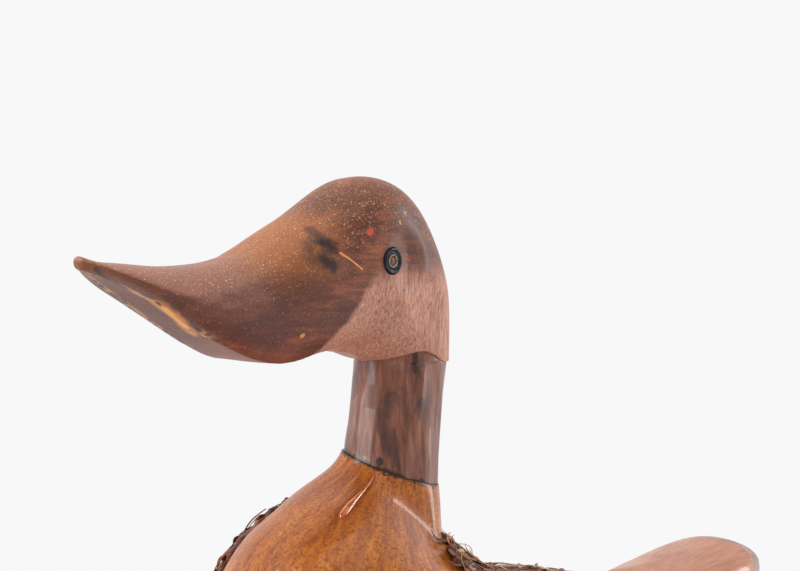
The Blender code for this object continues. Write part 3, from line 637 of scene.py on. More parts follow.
def headMarks():
    # on the left side: from and to as shares along and round the head, half width in millimetres, colour
    # and strength
    left = [
        # ochre chip along the bill's edge and the chips ahead of it
        ((0.776, 0.858), (0.741, 0.885), 3.2, (206, 138, 62), 1.0),
        ((0.741, 0.885), (0.706, 0.940), 3.0, (206, 138, 62), 1.0),
        ((0.765, 0.868), (0.720, 0.915), 1.5, (232, 176, 100), 0.7),
        ((0.842, 0.880), (0.812, 0.879), 1.2, (196, 140, 84), 0.9),
        ((0.800, 0.872), (0.788, 0.866), 1.3, (200, 140, 78), 0.9),
        ((0.780, 0.856), (0.777, 0.858), 0.9, (70, 38, 26), 0.95),
        # dark bill tip and edge, red line under the bill
        ((0.960, 0.780), (0.905, 0.900), 1.0, (70, 56, 56), 0.8),
        ((0.905, 0.900), (0.865, 0.890), 0.9, (84, 60, 54), 0.7),
        ((0.689, 0.950), (0.653, 0.866), 0.7, (176, 84, 54), 0.7),
        ((0.653, 0.866), (0.519, 0.831), 0.7, (166, 78, 54), 0.7),
        # pale line over the forehead, then the dark stain in front of the eye
        ((0.469, 0.559), (0.428, 0.582), 0.4, (206, 128, 66), 0.4),
        ((0.428, 0.582), (0.402, 0.600), 0.4, (206, 128, 66), 0.4),
        ((0.448, 0.592), (0.451, 0.631), 2.6, (66, 40, 38), 0.7),
        ((0.446, 0.640), (0.438, 0.668), 3.0, (44, 24, 36), 0.9),
        ((0.456, 0.686), (0.446, 0.704), 3.4, (48, 26, 38), 0.9),
        ((0.476, 0.665), (0.466, 0.630), 3.4, (88, 50, 40), 0.6),
        # red dot, scratches before the eye and over the crown, yellow flecks
        ((0.375, 0.692), (0.373, 0.689), 1.3, (214, 92, 66), 0.95),
        ((0.429, 0.689), (0.414, 0.718), 0.38, (232, 160, 92), 1.0),
        ((0.414, 0.718), (0.395, 0.747), 0.38, (232, 160, 92), 1.0),
        ((0.355, 0.593), (0.335, 0.650), 0.4, (206, 166, 146), 0.6),
        ((0.288, 0.664), (0.288, 0.668), 0.45, (232, 160, 76), 0.9),
        ((0.307, 0.689), (0.306, 0.693), 0.45, (232, 160, 76), 0.8),
        # grooves and spots behind the eye
        (*napeGroove[:2], 0.45, (84, 46, 38), 0.85),
        (*napeGroove[1:], 0.4, (96, 56, 46), 0.8),
        ((0.236, 0.771), (0.111, 0.761), 0.3, (100, 58, 48), 0.7),
        ((0.254, 0.791), (0.252, 0.789), 0.6, (96, 110, 126), 0.9),
        # chip at the throat and the shading of the side
        ((0.516, 0.826), (0.513, 0.826), 0.7, (220, 160, 100), 0.9),
        ((0.700, 0.830), (0.560, 0.770), 1.8, (84, 46, 40), 0.45),
        ((0.640, 0.700), (0.560, 0.690), 2.4, (92, 54, 44), 0.35),
    ]
    marks = []
    for start, end, width, tone, strength in left:
        marks.append((headPlace(*start), headPlace(*end), width * mm, tone, strength))
    return marks


def headSpots(share, side):
    # vertex numbers of a spot and of its mirror on the other side
    row = int(share * headLook["rings"]) * headLook["around"]
    return [row + int(place * headLook["around"]) for place in (side, 1 - side)]


def makeHead():
    # the surface with knife facets, flats at cheeks and eyes, waves, grooves and a lifted rim, less the hollow
    # for the joint and the eye sockets
    share = np.linspace(0, 1, headLook["rings"])[:, None]
    around = (np.arange(headLook["around"]) / headLook["around"])[None, :]
    grid = headSurface(share + 0 * around, around + 0 * share)
    normal = outward(grid, faceNormals(grid))
    rng = np.random.default_rng(7)
    lastRow = int(headLook["rings"] * headLook["lastCut"])
    rows = rng.integers(headLook["firstCut"], lastRow, headLook["faceCuts"])
    columns = rng.integers(0, headLook["around"], headLook["faceCuts"])
    centres = rows * headLook["around"] + columns
    tilts = rng.normal(0, 0.02, (headLook["faceCuts"], 3))
    depths = rng.uniform(*headLook["cutDepths"], headLook["faceCuts"]) * mm
    grid = knifeCuts(grid, normal, centres, tilts, depths, headLook["cutReach"])
    cheeks = headSpots(headLook["cheekShare"], headLook["cheekAround"])
    eyes = headSpots(headLook["eyeShare"], headLook["eyeAround"])
    for spots, lean, depth, reach in ((cheeks, 0.10, 0.7 * mm, 26 * mm), (eyes, 0.15, 0.5 * mm, 16 * mm)):
        grid = knifeCuts(grid, normal, spots, [(lean, 0, 0)] * 2, [depth] * 2, reach)
    normal = outward(grid, faceNormals(grid))
    fade = np.clip((share - 0.03) / 0.05, 0, 1)
    waves = softNoise(grid, headLook["waveLength"], 1) * headLook["waves"] * fade
    grid = grid + normal * waves[..., None]
    for start, end in zip(napeGroove, napeGroove[1:]):
        a, b = (np.array(headPlace(*spot)) for spot in (start, end))
        run = b - a
        along = np.clip((grid - a) @ run / (run @ run), 0, 1)
        apart = np.linalg.norm(grid - a - along[..., None] * run, axis=-1)
        groove = headLook["grooveDepth"] * np.exp(-((apart / headLook["grooveWidth"]) ** 2))
        grid = grid - normal * groove[..., None]
    lift = np.clip(1 - share / headLook["rimFade"], 0, 1) ** 2
    grid[..., 2] += lift * rimRise(around)
    grid = roundedEnd(grid, headLook["domeReach"], 6)
    normal = outward(grid, faceNormals(grid))
    rows = grid.shape[0]
    shares = np.concatenate([share, np.ones((rows - share.shape[0], 1))])
    # the ridge is where the sides meet the flat underside, along the bill only
    flat = smoothThrough(headStations(), shares)[:, 0, 7:8]
    c, w = np.cos(around * turn), np.sin(around * turn)
    corner = np.sqrt(np.clip(1 - np.abs(1 - 2 * flat) ** 2.2, 0, 1))
    onBill = (c > 0) * np.clip((shares - 0.66) / 0.04, 0, 1)
    ridge = np.exp(-(((np.abs(w) - corner) / 0.14) ** 2)) * onBill
    head = skinPiece("carved_head", grid, {"up": normal[..., 2], "ridge": ridge})
    joint = Matrix.Translation((swivelX, 0, headJoint))
    radius, top = headLook["cavityRadius"], headLook["cavityTop"]
    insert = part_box("head_insert")
    bore = (insert[1].x - insert[0].x) / 2 + spare
    roof = insert[1].z - headJoint + spare
    profile = ((pole, -beyond), (radius, -beyond), (radius, top), (bore, top), (bore, roof), (pole, roof))
    cutters = [turnedSolid("joint_hollow", profile, joint, 96)]
    for side in (headLook["eyeAround"], 1 - headLook["eyeAround"]):
        low, high = -headLook["socketDepth"], 4 * mm
        cutters.append(borePiece("eye_socket", headLook["socketRadius"], low, high, eyeAxis(side)))
    carve(head, *cutters)
    return head


def eyeAxis(side):
    # frame of an eye: the head's normal there, leaned back a little and sunk under the surface
    skull = (swivelX - headLook["billBase"] / 2, 0, headJoint + headLook["billBase"] / 2)
    axis = surfaceAxis(headSurface, headLook["eyeShare"], side, skull)
    place, face = axis.to_translation(), axis.to_3x3() @ Vector((0, 0, 1))
    face = (face + headLook["eyeLean"]).normalized()
    turned = face.to_track_quat("Z", "Y").to_matrix().to_4x4()
    return Matrix.Translation(place - face * headLook["eyeSunk"]) @ turned


head = makeHead()
put(head, headFinish(), "turning_head", "stained_wood", "head")
print("head carved")


# ---- eyes

eyeLook = {
    "ring": 4.4 * mm, "lip": 2.5 * mm, "eyelet": 2.35 * mm, "plug": 1.45 * mm,
    "sunk": -3.3 * mm, "rise": 0.1 * mm,
}


def eyeFinishes():
    dark = Finish("blackened_ring", Metallic=0.85, Specular_IOR_Level=0.5)
    patch = dark.noise(dark.object, 900, 4)
    fine = dark.noise(dark.object, 4200, 3)
    base = dark.ramp(
        patch, (0.35, (0.012, 0.015, 0.019)), (0.6, (0.045, 0.055, 0.065)), (0.75, (0.16, 0.18, 0.19)),
    )
    normal = dark.bump(patch + fine * 0.3, 0.5, 0.15 * mm)
    dark.wear(Base_Color=base, Roughness=0.28 + patch * 0.3, Normal=normal)
    tones = (0.35, (0.10, 0.055, 0.03)), (0.6, (0.33, 0.22, 0.13))
    brass = plainFinish("dull_eyelet", 1300, 4, tones, (0.4, 0.2), (0.3, 0.1 * mm), Metallic=0.55)
    tones = (0.35, (0.05, 0.018, 0.012)), (0.65, (0.19, 0.07, 0.045))
    wood = plainFinish("eye_plug_wood", 1800, 5, tones, (0.45, 0.1), (0.4, 0.15 * mm), grain=(1, 1, 0.3))
    return dark.material, brass, wood


def makeEye(side, axis, finishes):
    # ring, eyelet and plug: profiles of (radius, height) turned about the eye's axis
    e = eyeLook
    low, rise = e["sunk"], e["rise"]
    ring = (
        (e["lip"], low), (e["ring"], low), (e["ring"], rise), (e["ring"] - 0.2 * mm, rise + 0.4 * mm),
        (e["ring"] - 0.6 * mm, rise + 0.55 * mm), (e["ring"] - 1.2 * mm, rise + 0.3 * mm),
        (e["lip"] + 0.5 * mm, rise + 0.05 * mm), (e["lip"] + 0.1 * mm, rise + 0.15 * mm), (e["lip"], rise),
    )
    eyelet = (
        (e["plug"] + 0.05 * mm, low), (e["eyelet"], low), (e["eyelet"], rise),
        (e["eyelet"] - 0.15 * mm, rise + 0.25 * mm), (e["plug"] + 0.3 * mm, rise + 0.25 * mm),
        (e["plug"] + 0.05 * mm, rise),
    )
    plug = (
        (0.01 * mm, low), (e["plug"], low), (e["plug"], rise - 0.2 * mm), (e["plug"] - 0.3 * mm, rise),
        (e["plug"] * 0.5, rise + 0.1 * mm), (0.01 * mm, rise + 0.12 * mm),
    )
    pieces = (
        (turnedRing(f"{side}_ring_of_eye", ring, axis), "ring", "eye_metal"),
        (turnedRing(f"{side}_eyelet_of_eye", eyelet, axis, 64), "eyelet", "eye_brass"),
        (turnedSolid(f"{side}_plug_of_eye", plug, axis, 48), "plug", "eye_wood"),
    )
    for (piece, node, slot), finish in zip(pieces, finishes):
        put(piece, finish, "turning_head", slot, f"{side}_eye_{node}")


eyeFinishList = eyeFinishes()
makeEye("right", eyeAxis(headLook["eyeAround"]), eyeFinishList)
makeEye("left", eyeAxis(1 - headLook["eyeAround"]), eyeFinishList)
print("eyes set")


# ---- body surface, shared by neck, body, mats and tacks

neckFoot = {
    "x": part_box("neck")[0].x + 0.0165, "height": 0.128, "radius": 0.0165,
    "fall": 0.25, "rise": 0.25, "reach": 16,
}
bodyShape = {
    "breast": 0.076, "stern": 0.1607, "halfWidth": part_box("body")[1].y, "levels": (0.0, 0.046, 0.080, 0.128),
    "shoulder": (0.885, 0.12, 0.875, 0.085), "fuller": 5.8 * mm,
}
breastProfile = [
    (0.53, 0.00), (0.77, 0.26), (0.93, 0.61), (1.00, 1.10), (0.94, 1.80),
    (0.83, 2.24), (0.66, 2.55), (0.40, 2.78), (0.12, 2.92), (0.00, 3.00),
]
sideProfile = [
    (0.72, 0.00), (0.87, 0.22), (0.97, 0.56), (1.00, 1.00), (0.95, 1.50),
    (0.84, 1.92), (0.60, 2.21), (0.28, 2.40), (0.07, 2.62), (0.00, 3.00),
]
sternProfile = [
    (0.83, 0.00), (0.91, 0.15), (0.97, 0.43), (1.00, 0.87), (0.93, 1.30),
    (0.76, 1.72), (0.50, 1.95), (0.20, 1.98), (0.03, 2.16), (0.00, 3.00),
]


def seamLift(x, y):
    # how far the neck's askew foot stands above its level at its middle
    return neckFoot["rise"] * y - neckFoot["fall"] * (x - neckFoot["x"])


def bodySurface(around, share):
    # profiles at breast, side and stern, blended by the fourth power of the sine, reach from the neck's
    # radius to an ellipse that is longer behind, and a fuller shoulder on one side; the last of the rise
    # tilts to the neck's askew foot
    around, share = np.broadcast_arrays(np.asarray(around, float), np.asarray(share, float))
    c, s = np.cos(around * turn), np.sin(around * turn)
    lengthwise = (1 - s**4)[..., None]
    breast, stern = smoothThrough(breastProfile, share), smoothThrough(sternProfile, share)
    ends = np.where((c > 0)[..., None], breast, stern)
    blend = ends * lengthwise + smoothThrough(sideProfile, share) * (1 - lengthwise)
    half = (bodyShape["breast"] + bodyShape["stern"]) / 2
    behind = (bodyShape["stern"] - bodyShape["breast"]) / 2
    a = (c / half) ** 2 + (s / bodyShape["halfWidth"]) ** 2
    b = 2 * c * behind / half**2
    outline = (-b + np.sqrt(b * b - 4 * a * ((behind / half) ** 2 - 1))) / (2 * a)
    reach = neckFoot["radius"] + (outline - neckFoot["radius"]) * blend[..., 0]
    place, width, level, height = bodyShape["shoulder"]
    apart = np.mod(around - place + 0.5, 1) - 0.5
    reach = reach + bodyShape["fuller"] * np.exp(-((apart / width) ** 2) - ((share - level) / height) ** 2)
    x, y = neckFoot["x"] - reach * c, -reach * s
    tilt = seamLift(x, y) * share ** neckFoot["reach"]
    z = np.interp(blend[..., 1], (0, 1, 2, 3), bodyShape["levels"]) + tilt
    return np.stack([x, y, z], -1)


def bodyNormals(around, share):
    # cross product of steps to either side, turned away from the middle of the body
    step = 0.002
    after, before = np.minimum(share + step, 1), np.maximum(share - step, 0)
    along = bodySurface(around, after) - bodySurface(around, before)
    across = bodySurface(around + step, share) - bodySurface(around - step, share)
    normal = np.cross(across, along)
    normal /= np.maximum(np.linalg.norm(normal, axis=-1, keepdims=True), 1e-12)
    inside = bodySurface(around, share) - np.array([neckFoot["x"], 0, bodyShape["levels"][1]])
    return normal * np.where((normal * inside).sum(-1, keepdims=True) < 0, -1, 1)


# ---- neck

neckLook = {
    "rows": 100, "around": 200, "top": 0.0163, "spigot": 0.0157, "spigotRise": 0.0072, "cut": 1.6,
    "facets": (  # place round the neck, width, depth in millimetres, lowest and highest share of the height
        (0.035, 0.045, 0.30, -0.2, 0.8), (0.110, 0.050, 0.42, 0.0, 1.2), (0.165, 0.040, 0.50, 0.30, 1.3),
        (0.205, 0.036, 0.40, -0.3, 0.7), (0.255, 0.045, 0.50, 0.2, 1.3), (0.300, 0.035, 0.36, -0.3, 0.8),
        (0.380, 0.060, 0.40, 0.0, 1.0), (0.480, 0.060, 0.45, 0.0, 1.0), (0.570, 0.055, 0.40, 0.1, 1.0),
        (0.660, 0.060, 0.45, 0.0, 0.9), (0.760, 0.055, 0.40, 0.0, 1.0), (0.850, 0.050, 0.45, 0.1, 1.0),
        (0.930, 0.045, 0.40, 0.0, 0.8),
    ),
}


def makeNeck():
    # rings from the askew foot to the joint, lengthwise knife facets, then a slimmer round end in the head
    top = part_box("neck")[1].z
    share = np.linspace(0, 1, neckLook["rows"])[:, None]
    angle = (np.arange(neckLook["around"]) / neckLook["around"] * turn)[None, :]
    radius = neckFoot["radius"] + (neckLook["top"] - neckFoot["radius"]) * share + 0 * angle
    rng = np.random.default_rng(11)
    for place, width, depth, low, high in neckLook["facets"]:
        drift = rng.normal(0, 0.012) * (share - 0.5)
        apart = (np.mod(angle / turn - place - drift + 0.5, 1) - 0.5) / width
        ends = np.clip((share - low) * 4, 0, 1) * np.clip((high - share) * 4, 0, 1)
        flat = np.clip(1 - apart**2, 0, 1) * neckLook["cut"] * depth * mm * ends
        radius = radius - flat
    column = np.stack([np.cos(angle) + 0 * share, np.sin(angle) + 0 * share, share * 1.2 + 0 * angle], -1)
    radius = radius - np.abs(softNoise(column, 0.5, 3)) * 0.18 * mm
    drift = swivelX - neckFoot["x"]
    centre = neckFoot["x"] + drift * share
    x = centre - radius * np.cos(angle)
    y = -radius * np.sin(angle)
    low = neckFoot["height"] + 0.15 * mm + seamLift(x - drift * share, y)
    z = low + (top - low) * share
    grid = np.stack([x, y, z], -1)
    # round from the joint up, so that the head turns over it
    steps = np.linspace(0, 1, 10)[1:, None]
    radius = neckLook["top"] - 0.15 * mm + (neckLook["spigot"] - neckLook["top"]) * steps + 0 * angle
    height = top + neckLook["spigotRise"] * steps + 0 * angle
    spigot = np.stack([swivelX - radius * np.cos(angle), -radius * np.sin(angle), height], -1)
    return skinPiece("carved_neck", np.concatenate([grid, spigot]))


def footHeight(x, y):
    # height of the neck's askew foot, as shader maths
    level = neckFoot["height"] + neckFoot["fall"] * neckFoot["x"]
    return x * -neckFoot["fall"] + y * neckFoot["rise"] + level


def neckFinish():
    wood = Finish("dark_neck", Coat_Roughness=0.12, Specular_IOR_Level=0.5)
    z = wood.part("Z")
    grain = wood.noise(wood.scaled(1, 1, 0.10), 620, 7, 0.6, 0.4)
    blotch = wood.noise(wood.scaled(1, 1, 0.45), 110, 4, 0.55, 0.6)
    fine = wood.noise(wood.object, 2200, 3, 0.7)
    base = wood.ramp(
        grain, (0.30, paint(104, 62, 48)), (0.52, paint(146, 94, 72)), (0.74, paint(178, 122, 92)),
    )
    base = wood.mix((1 - blotch.between(0.38, 0.52)) * 0.65, base, paint(60, 40, 38))
    base = wood.mix(blotch.between(0.60, 0.70) * 0.5, base, paint(146, 92, 58))
    base = wood.mix((1 - fine.between(0.32, 0.45)) * 0.4, base, paint(58, 34, 30))
    x, y = wood.part("X"), wood.part("Y")
    seam = z - footHeight(x, y)
    ragged = seam + (blotch - 0.5) * 0.007 + (fine - 0.5) * 0.002
    base = wood.mix((1 - ragged.between(0.0004, 0.0016)) * 0.9, base, paint(30, 20, 20))
    knot = neckPlace(0.086, 0.0026)
    base = wood.mix(wood.spot(knot, 2.0 * mm) * 0.85, base, paint(34, 24, 24))
    chip = neckPlace(0.030, 0.0030)
    above, below = Vector((0, 0, 1.6 * mm)), Vector((0, 0, 1.2 * mm))
    bare = wood.scratch(chip + above, chip - below, 1.0 * mm, blotch)
    base = wood.mix(bare, base, paint(206, 166, 118))
    aside = 0.176 * turn
    x, y = swivelX - neckLook["top"] * math.cos(aside), -neckLook["top"] * math.sin(aside)
    drip = Vector((x, y, headJoint + 3 * mm))
    run = wood.scratch(drip, drip - Vector((0, 0, 5.5 * mm)), 1.1 * mm, blotch)
    base = wood.mix(run * 0.8, base, paint(66, 24, 16))
    rough = 0.30 + grain * 0.1 + blotch * 0.1
    coat = 0.15 + blotch * 0.3
    normal = wood.bump(grain * 0.6 + fine * 0.3, 0.3, 0.3 * mm)
    return wood.wear(Base_Color=base, Roughness=rough, Coat_Weight=coat, Normal=normal)


def neckPlace(around, height):
    # a spot on the neck, a height above its askew foot
    x = neckFoot["x"] - neckFoot["radius"] * math.cos(around * turn)
    y = -neckFoot["radius"] * math.sin(around * turn)
    return Vector((x, y, neckFoot["height"] + seamLift(x, y) + height))


neck = makeNeck()
put(neck, neckFinish(), "float", "stained_wood", "neck")
print("neck carved")


# ---- body

bodyLook = {"rows": 230, "around": 380, "waves": 0.35 * mm, "chamberRadius": 0.011, "chamberTop": 0.036}


def makeBody():
    # the surface with slow waves, less the chamber of the nut and the pocket of the keel weight
    share = np.linspace(0, 1, bodyLook["rows"])[:, None]
    around = (np.arange(bodyLook["around"]) / bodyLook["around"])[None, :]
    grid = bodySurface(around, share)
    normal = bodyNormals(around + 0 * share, share + 0 * around)
    fade = np.clip(share / 0.06, 0, 1) * np.clip((1 - share) / 0.04, 0, 1)
    ripple = softNoise(grid, 26 * mm, 5) + softNoise(grid, 9 * mm, 6) * 0.35
    grid = grid + normal * (ripple * bodyLook["waves"] * fade)[..., None]
    body = skinPiece("carved_body", grid)
    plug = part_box("bottom_plug")
    plugMiddle = Matrix.Translation(((plug[0].x + plug[1].x) / 2, 0, 0))
    chamber = borePiece("plug_bore", bodyLook["chamberRadius"], -beyond, bodyLook["chamberTop"], plugMiddle)
    low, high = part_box("keel_weight")
    across, aside = (low.x - spare, high.x + spare), (low.y - spare, high.y + spare)
    upward = (-beyond, high.z + spare)
    corners = np.array([[x, y, z] for x in across for y in aside for z in upward])
    boxFaces = [[0, 1, 3, 2], [4, 6, 7, 5], [0, 4, 5, 1], [2, 3, 7, 6], [0, 2, 6, 4], [1, 5, 7, 3]]
    pocket = addPiece("keel_pocket", corners, boxFaces)
    carve(body, chamber, pocket)
    return body


def bodyFinish():
    wood = Finish("varnished_breast", Coat_Roughness=0.07, Specular_IOR_Level=0.3, Coat_IOR=1.5)
    # streaks fan out from the neck: the direction from it, with the height as the third coordinate
    centred = wood.vectors("SUBTRACT", wood.object, (neckFoot["x"], 0, 0))
    flat = wood.vectors("MULTIPLY", centred, (1, 1, 0))
    ray = wood.vectors("NORMALIZE", flat)
    drop = wood.vectors("MULTIPLY", wood.object, (0, 0, 9))
    fan = wood.vectors("ADD", ray, drop)
    streak = wood.noise(fan, 9, 6, 0.6, 0.35)
    thin = wood.noise(fan, 34, 4, 0.6, 0.2)
    cloud = wood.noise(wood.object, 40, 4)
    spots = wood.noise(wood.object, 900, 3, 0.6)
    fine = wood.noise(wood.object, 2400, 2, 0.6)
    base = wood.ramp(
        streak * 0.55 + thin * 0.3 + cloud * 0.15,
        (0.34, paint(142, 78, 32)), (0.46, paint(176, 102, 40)), (0.56, paint(202, 126, 50)),
        (0.70, paint(232, 164, 76)),
    )
    golden = wood.noise(fan, 5, 3).between(0.50, 0.62)
    base = wood.mix(golden * 0.4, base, paint(196, 118, 40))
    freckles = (1 - spots.between(0.38, 0.50)) * (0.5 + cloud * 0.5)
    base = wood.mix(freckles * 0.7, base, paint(104, 50, 30))
    base = wood.mix(fine.between(0.60, 0.72) * 0.3, base, paint(226, 158, 104))
    x, y, z = wood.part("X"), wood.part("Y"), wood.part("Z")
    below = footHeight(x, y) - z + (spots - 0.5) * 0.004
    nearNeck = 1 - wood.vectors("LENGTH", flat, output="Value").between(0.0172, 0.0205)
    base = wood.mix((1 - below.between(0.0002, 0.0014)) * nearNeck * 0.85, base, paint(40, 22, 16))
    rough = 0.38 + cloud * 0.12
    coat = 0.25 + cloud * 0.35
    normal = wood.bump(streak * 0.6 + fine * 0.15, 0.12, 0.4 * mm)
    return wood.wear(Base_Color=base, Roughness=rough, Coat_Weight=coat, Normal=normal)


def makeVarnishRun():
    # a run of varnish: a tube, flattened against the breast, that swells to a drop at its lower end
    share = np.linspace(0, 1, 40)
    around = 0.076 - 0.017 * share - 0.004 * np.sin(share * 3)
    level = 0.955 - 0.187 * share**0.9
    normal = bodyNormals(around, level)
    path = bodySurface(around, level) + normal * (0.02 * mm)
    tip = np.sqrt(np.clip(1 - ((share - 0.93) / 0.07).clip(0, 1) ** 2, 0.02, 1))
    width = (0.35 + 0.95 * np.clip((share - 0.30) / 0.45, 0, 1) ** 1.3) * mm * tip
    width[:3] *= (0.3, 0.6, 0.85)
    grid = tubeGrid(path, width, 20, flat=0.62, up=normal)
    return skinPiece("varnish_run", grid)


def runFinish():
    resin = Finish("thick_varnish", Roughness=0.08, Coat_Weight=1.0, Coat_Roughness=0.03)
    tone = resin.noise(resin.object, 260, 3)
    base = resin.ramp(tone, (0.35, paint(176, 84, 28)), (0.65, paint(226, 132, 52)))
    return resin.wear(Base_Color=base, Normal=resin.bump(tone, 0.05, 0.2 * mm))


body = makeBody()
varnishedWood = bodyFinish()
put(body, varnishedWood, "float", "varnished_wood", "body")
put(makeVarnishRun(), runFinish(), "float", "varnished_wood")
print("body carved")


# ---- tail

tailLook = {
    "rows": 150, "around": 150, "root": 0.0635, "length": 0.110, "height": 0.0765, "fullness": 2.4,
    "cuts": 34, "cutDepths": (0.1, 0.35), "cutReach": 18 * mm,
}
tailStations = [  # share of the length, top and bottom below the tail's height, half width
    (0.00, 0.0100, 0.0310, 0.0270), (0.35, 0.0070, 0.0280, 0.0275), (0.70, 0.0006, 0.0230, 0.0250),
    (0.84, -0.0010, 0.0200, 0.0205), (0.94, 0.0040, 0.0170, 0.0140), (1.00, 0.0112, 0.0140, 0.0030),
]


def tailSurface(share, around):
    # superellipse rings between a top and a bottom that drop below the tail's height
    place, top, bottom, halfWidth = np.moveaxis(smoothThrough(tailStations, share), -1, 0)
    c, w = np.cos(around * turn), np.sin(around * turn)
    power = 2 / tailLook["fullness"]
    rise, aside = (np.sign(v) * np.abs(v) ** power for v in (c, w))
    x = tailLook["root"] + tailLook["length"] * place
    z = tailLook["height"] - (top + bottom) / 2 + (bottom - top) / 2 * rise
    return np.stack([x, halfWidth * aside, z], -1)


def makeTail():
    # the surface with knife facets and slow waves
    share = np.linspace(0, 1, tailLook["rows"])[:, None]
    around = (np.arange(tailLook["around"]) / tailLook["around"])[None, :]
    grid = tailSurface(share + 0 * around, around + 0 * share)
    normal = outward(grid, faceNormals(grid))
    rng = np.random.default_rng(23)
    count = tailLook["cuts"]
    rows = rng.integers(20, tailLook["rows"] - 6, count)
    centres = rows * tailLook["around"] + rng.integers(0, tailLook["around"], count)
    tilts = rng.normal(0, 0.05, (count, 3))
    depths = rng.uniform(*tailLook["cutDepths"], count) * mm
    grid = knifeCuts(grid, normal, centres, tilts, depths, tailLook["cutReach"])
    normal = outward(grid, faceNormals(grid))
    grid = grid + normal * (softNoise(grid, 14 * mm, 9) * 0.25 * mm)[..., None]
    normal = outward(grid, faceNormals(grid))
    return skinPiece("carved_tail", grid, {"up": normal[..., 2]})


def tailFinish():
    wood = Finish("tail_varnish", Coat_Roughness=0.12)
    x, up = wood.part("X"), wood.mark("up")
    grain = wood.noise(wood.scaled(0.07, 1, 1), 520, 7, 0.6, 0.4)
    cloud = wood.noise(wood.scaled(0.5, 1, 1), 60, 4)
    fine = wood.noise(wood.object, 2000, 3, 0.6)
    base = wood.ramp(
        grain * 0.6 + cloud * 0.4,
        (0.30, paint(172, 106, 72)), (0.5, paint(194, 130, 92)), (0.70, paint(210, 152, 112)),
    )
    base = wood.mix((1 - fine.between(0.34, 0.46)) * 0.4, base, paint(120, 68, 48))
    tip = (x + (cloud - 0.5) * 0.02 - up * 0.004).between(0.143, 0.154)
    base = wood.mix(tip * 0.75, base, paint(104, 82, 76))
    rough = 0.36 + cloud * 0.15
    normal = wood.bump(grain + fine * 0.2, 0.2, 0.3 * mm)
    return wood.wear(Base_Color=base, Roughness=rough, Coat_Weight=0.4 + cloud * 0.3, Normal=normal)


put(makeTail(), tailFinish(), "float", "tail_wood", "tail")
print("tail carved")


# ---- fibre mats

matLook = {
    "left": {
        "from": 0.236, "to": 0.4170, "low": 0.165, "high": 0.885, "thick": 1.2,
        "strands": 1150, "seed": 31, "lean": 0.055, "loose": 1.0, "light": 0.0,
    },
    "right": {
        "from": 0.5830, "to": 0.900, "low": 0.165, "high": 0.805, "thick": 1.7,
        "strands": 1250, "seed": 37, "lean": -0.035, "loose": 0.25, "light": 0.28,
    },
    "back": {
        "from": 0.4165, "to": 0.5835, "low": 0.665, "high": 0.930, "thick": 1.0,
        "strands": 520, "seed": 41, "lean": 0.0, "loose": 1.0, "light": 0.0,
    },
    "skin": 2.2 * mm, "gap": 0.35 * mm, "steps": 9, "sides": 4,
    "kinds": (  # portion, longest, tip's lift, curl, radii in millimetres, flatness
        (0.50, 26 * mm, 1.5 * mm, 0.9, (0.35, 0.8), 0.45),
        (0.30, 14 * mm, 3.0 * mm, 2.2, (0.18, 0.4), 0.8),
        (0.20, 9 * mm, 1.2 * mm, 0.6, (0.8, 1.5), 0.38),
    ),
}


def matEdge(spec, u, share):
    # place round the body of a share across the mat; its front edge leans back towards the neck, and both
    # edges wander
    slant = spec["lean"] * np.clip((share - 0.72) / 0.2, 0, 1.2) ** 1.5
    front, rear = (spec["from"], spec["to"]) if spec["lean"] >= 0 else (spec["to"], spec["from"])
    ragged = 0.005 * np.sin(share * 61) + 0.004 * np.sin(share * 143 + 1)
    return (front + slant + ragged) * (1 - u) + (rear + ragged) * u


def makeMatSkin(side):
    # two faces that follow the body, the outer one lumpy and thin at the edges, joined round the rim
    spec = matLook[side]
    rows, columns = 110, 120
    v = np.linspace(0, 1, rows)[:, None]
    u = np.linspace(0, 1, columns)[None, :]
    share = spec["low"] + (spec["high"] - spec["low"]) * v + 0 * u
    around = matEdge(spec, u + 0 * v, share)
    base, normal = bodySurface(around, share), bodyNormals(around, share)
    ragged = softNoise(base, 5 * mm, spec["seed"]) * 0.5 + softNoise(base, 2 * mm, spec["seed"] + 1) * 0.35
    rim = np.minimum(np.minimum(u, 1 - u) * 22, np.minimum(v, 1 - v) * 22)
    thick = spec["thick"] * matLook["skin"] * (0.62 + ragged * 0.55) * np.clip(rim + 0.35, 0.35, 1)
    outer = base + normal * (matLook["gap"] + np.maximum(thick, 0.5 * mm))[..., None]
    inner = base + normal * matLook["gap"]
    count = rows * columns
    faces = gridFaces(rows, columns, wrapColumns=False).tolist()
    faces += gridFaces(rows, columns, wrapColumns=False, start=count)[:, ::-1].tolist()
    index = np.arange(count).reshape(rows, columns)
    border = np.concatenate([index[0, :-1], index[:-1, -1], index[-1, :0:-1], index[:0:-1, 0]])
    after = np.roll(border, -1)
    faces += np.stack([after, border, border + count, after + count], -1).tolist()
    vertices = np.concatenate([outer.reshape(-1, 3), inner.reshape(-1, 3)])
    return addPiece(f"{side}_fibre_skin", vertices, faces, smooth=55)


def speeds(around, share):
    # metres that the body's surface covers for each unit round it, and for each unit of share
    step = 0.002
    aside = bodySurface(around + step, share) - bodySurface(around - step, share)
    upward = bodySurface(around, share + step) - bodySurface(around, share - step)
    return np.linalg.norm(aside, axis=-1) / (2 * step), np.linalg.norm(upward, axis=-1) / (2 * step)


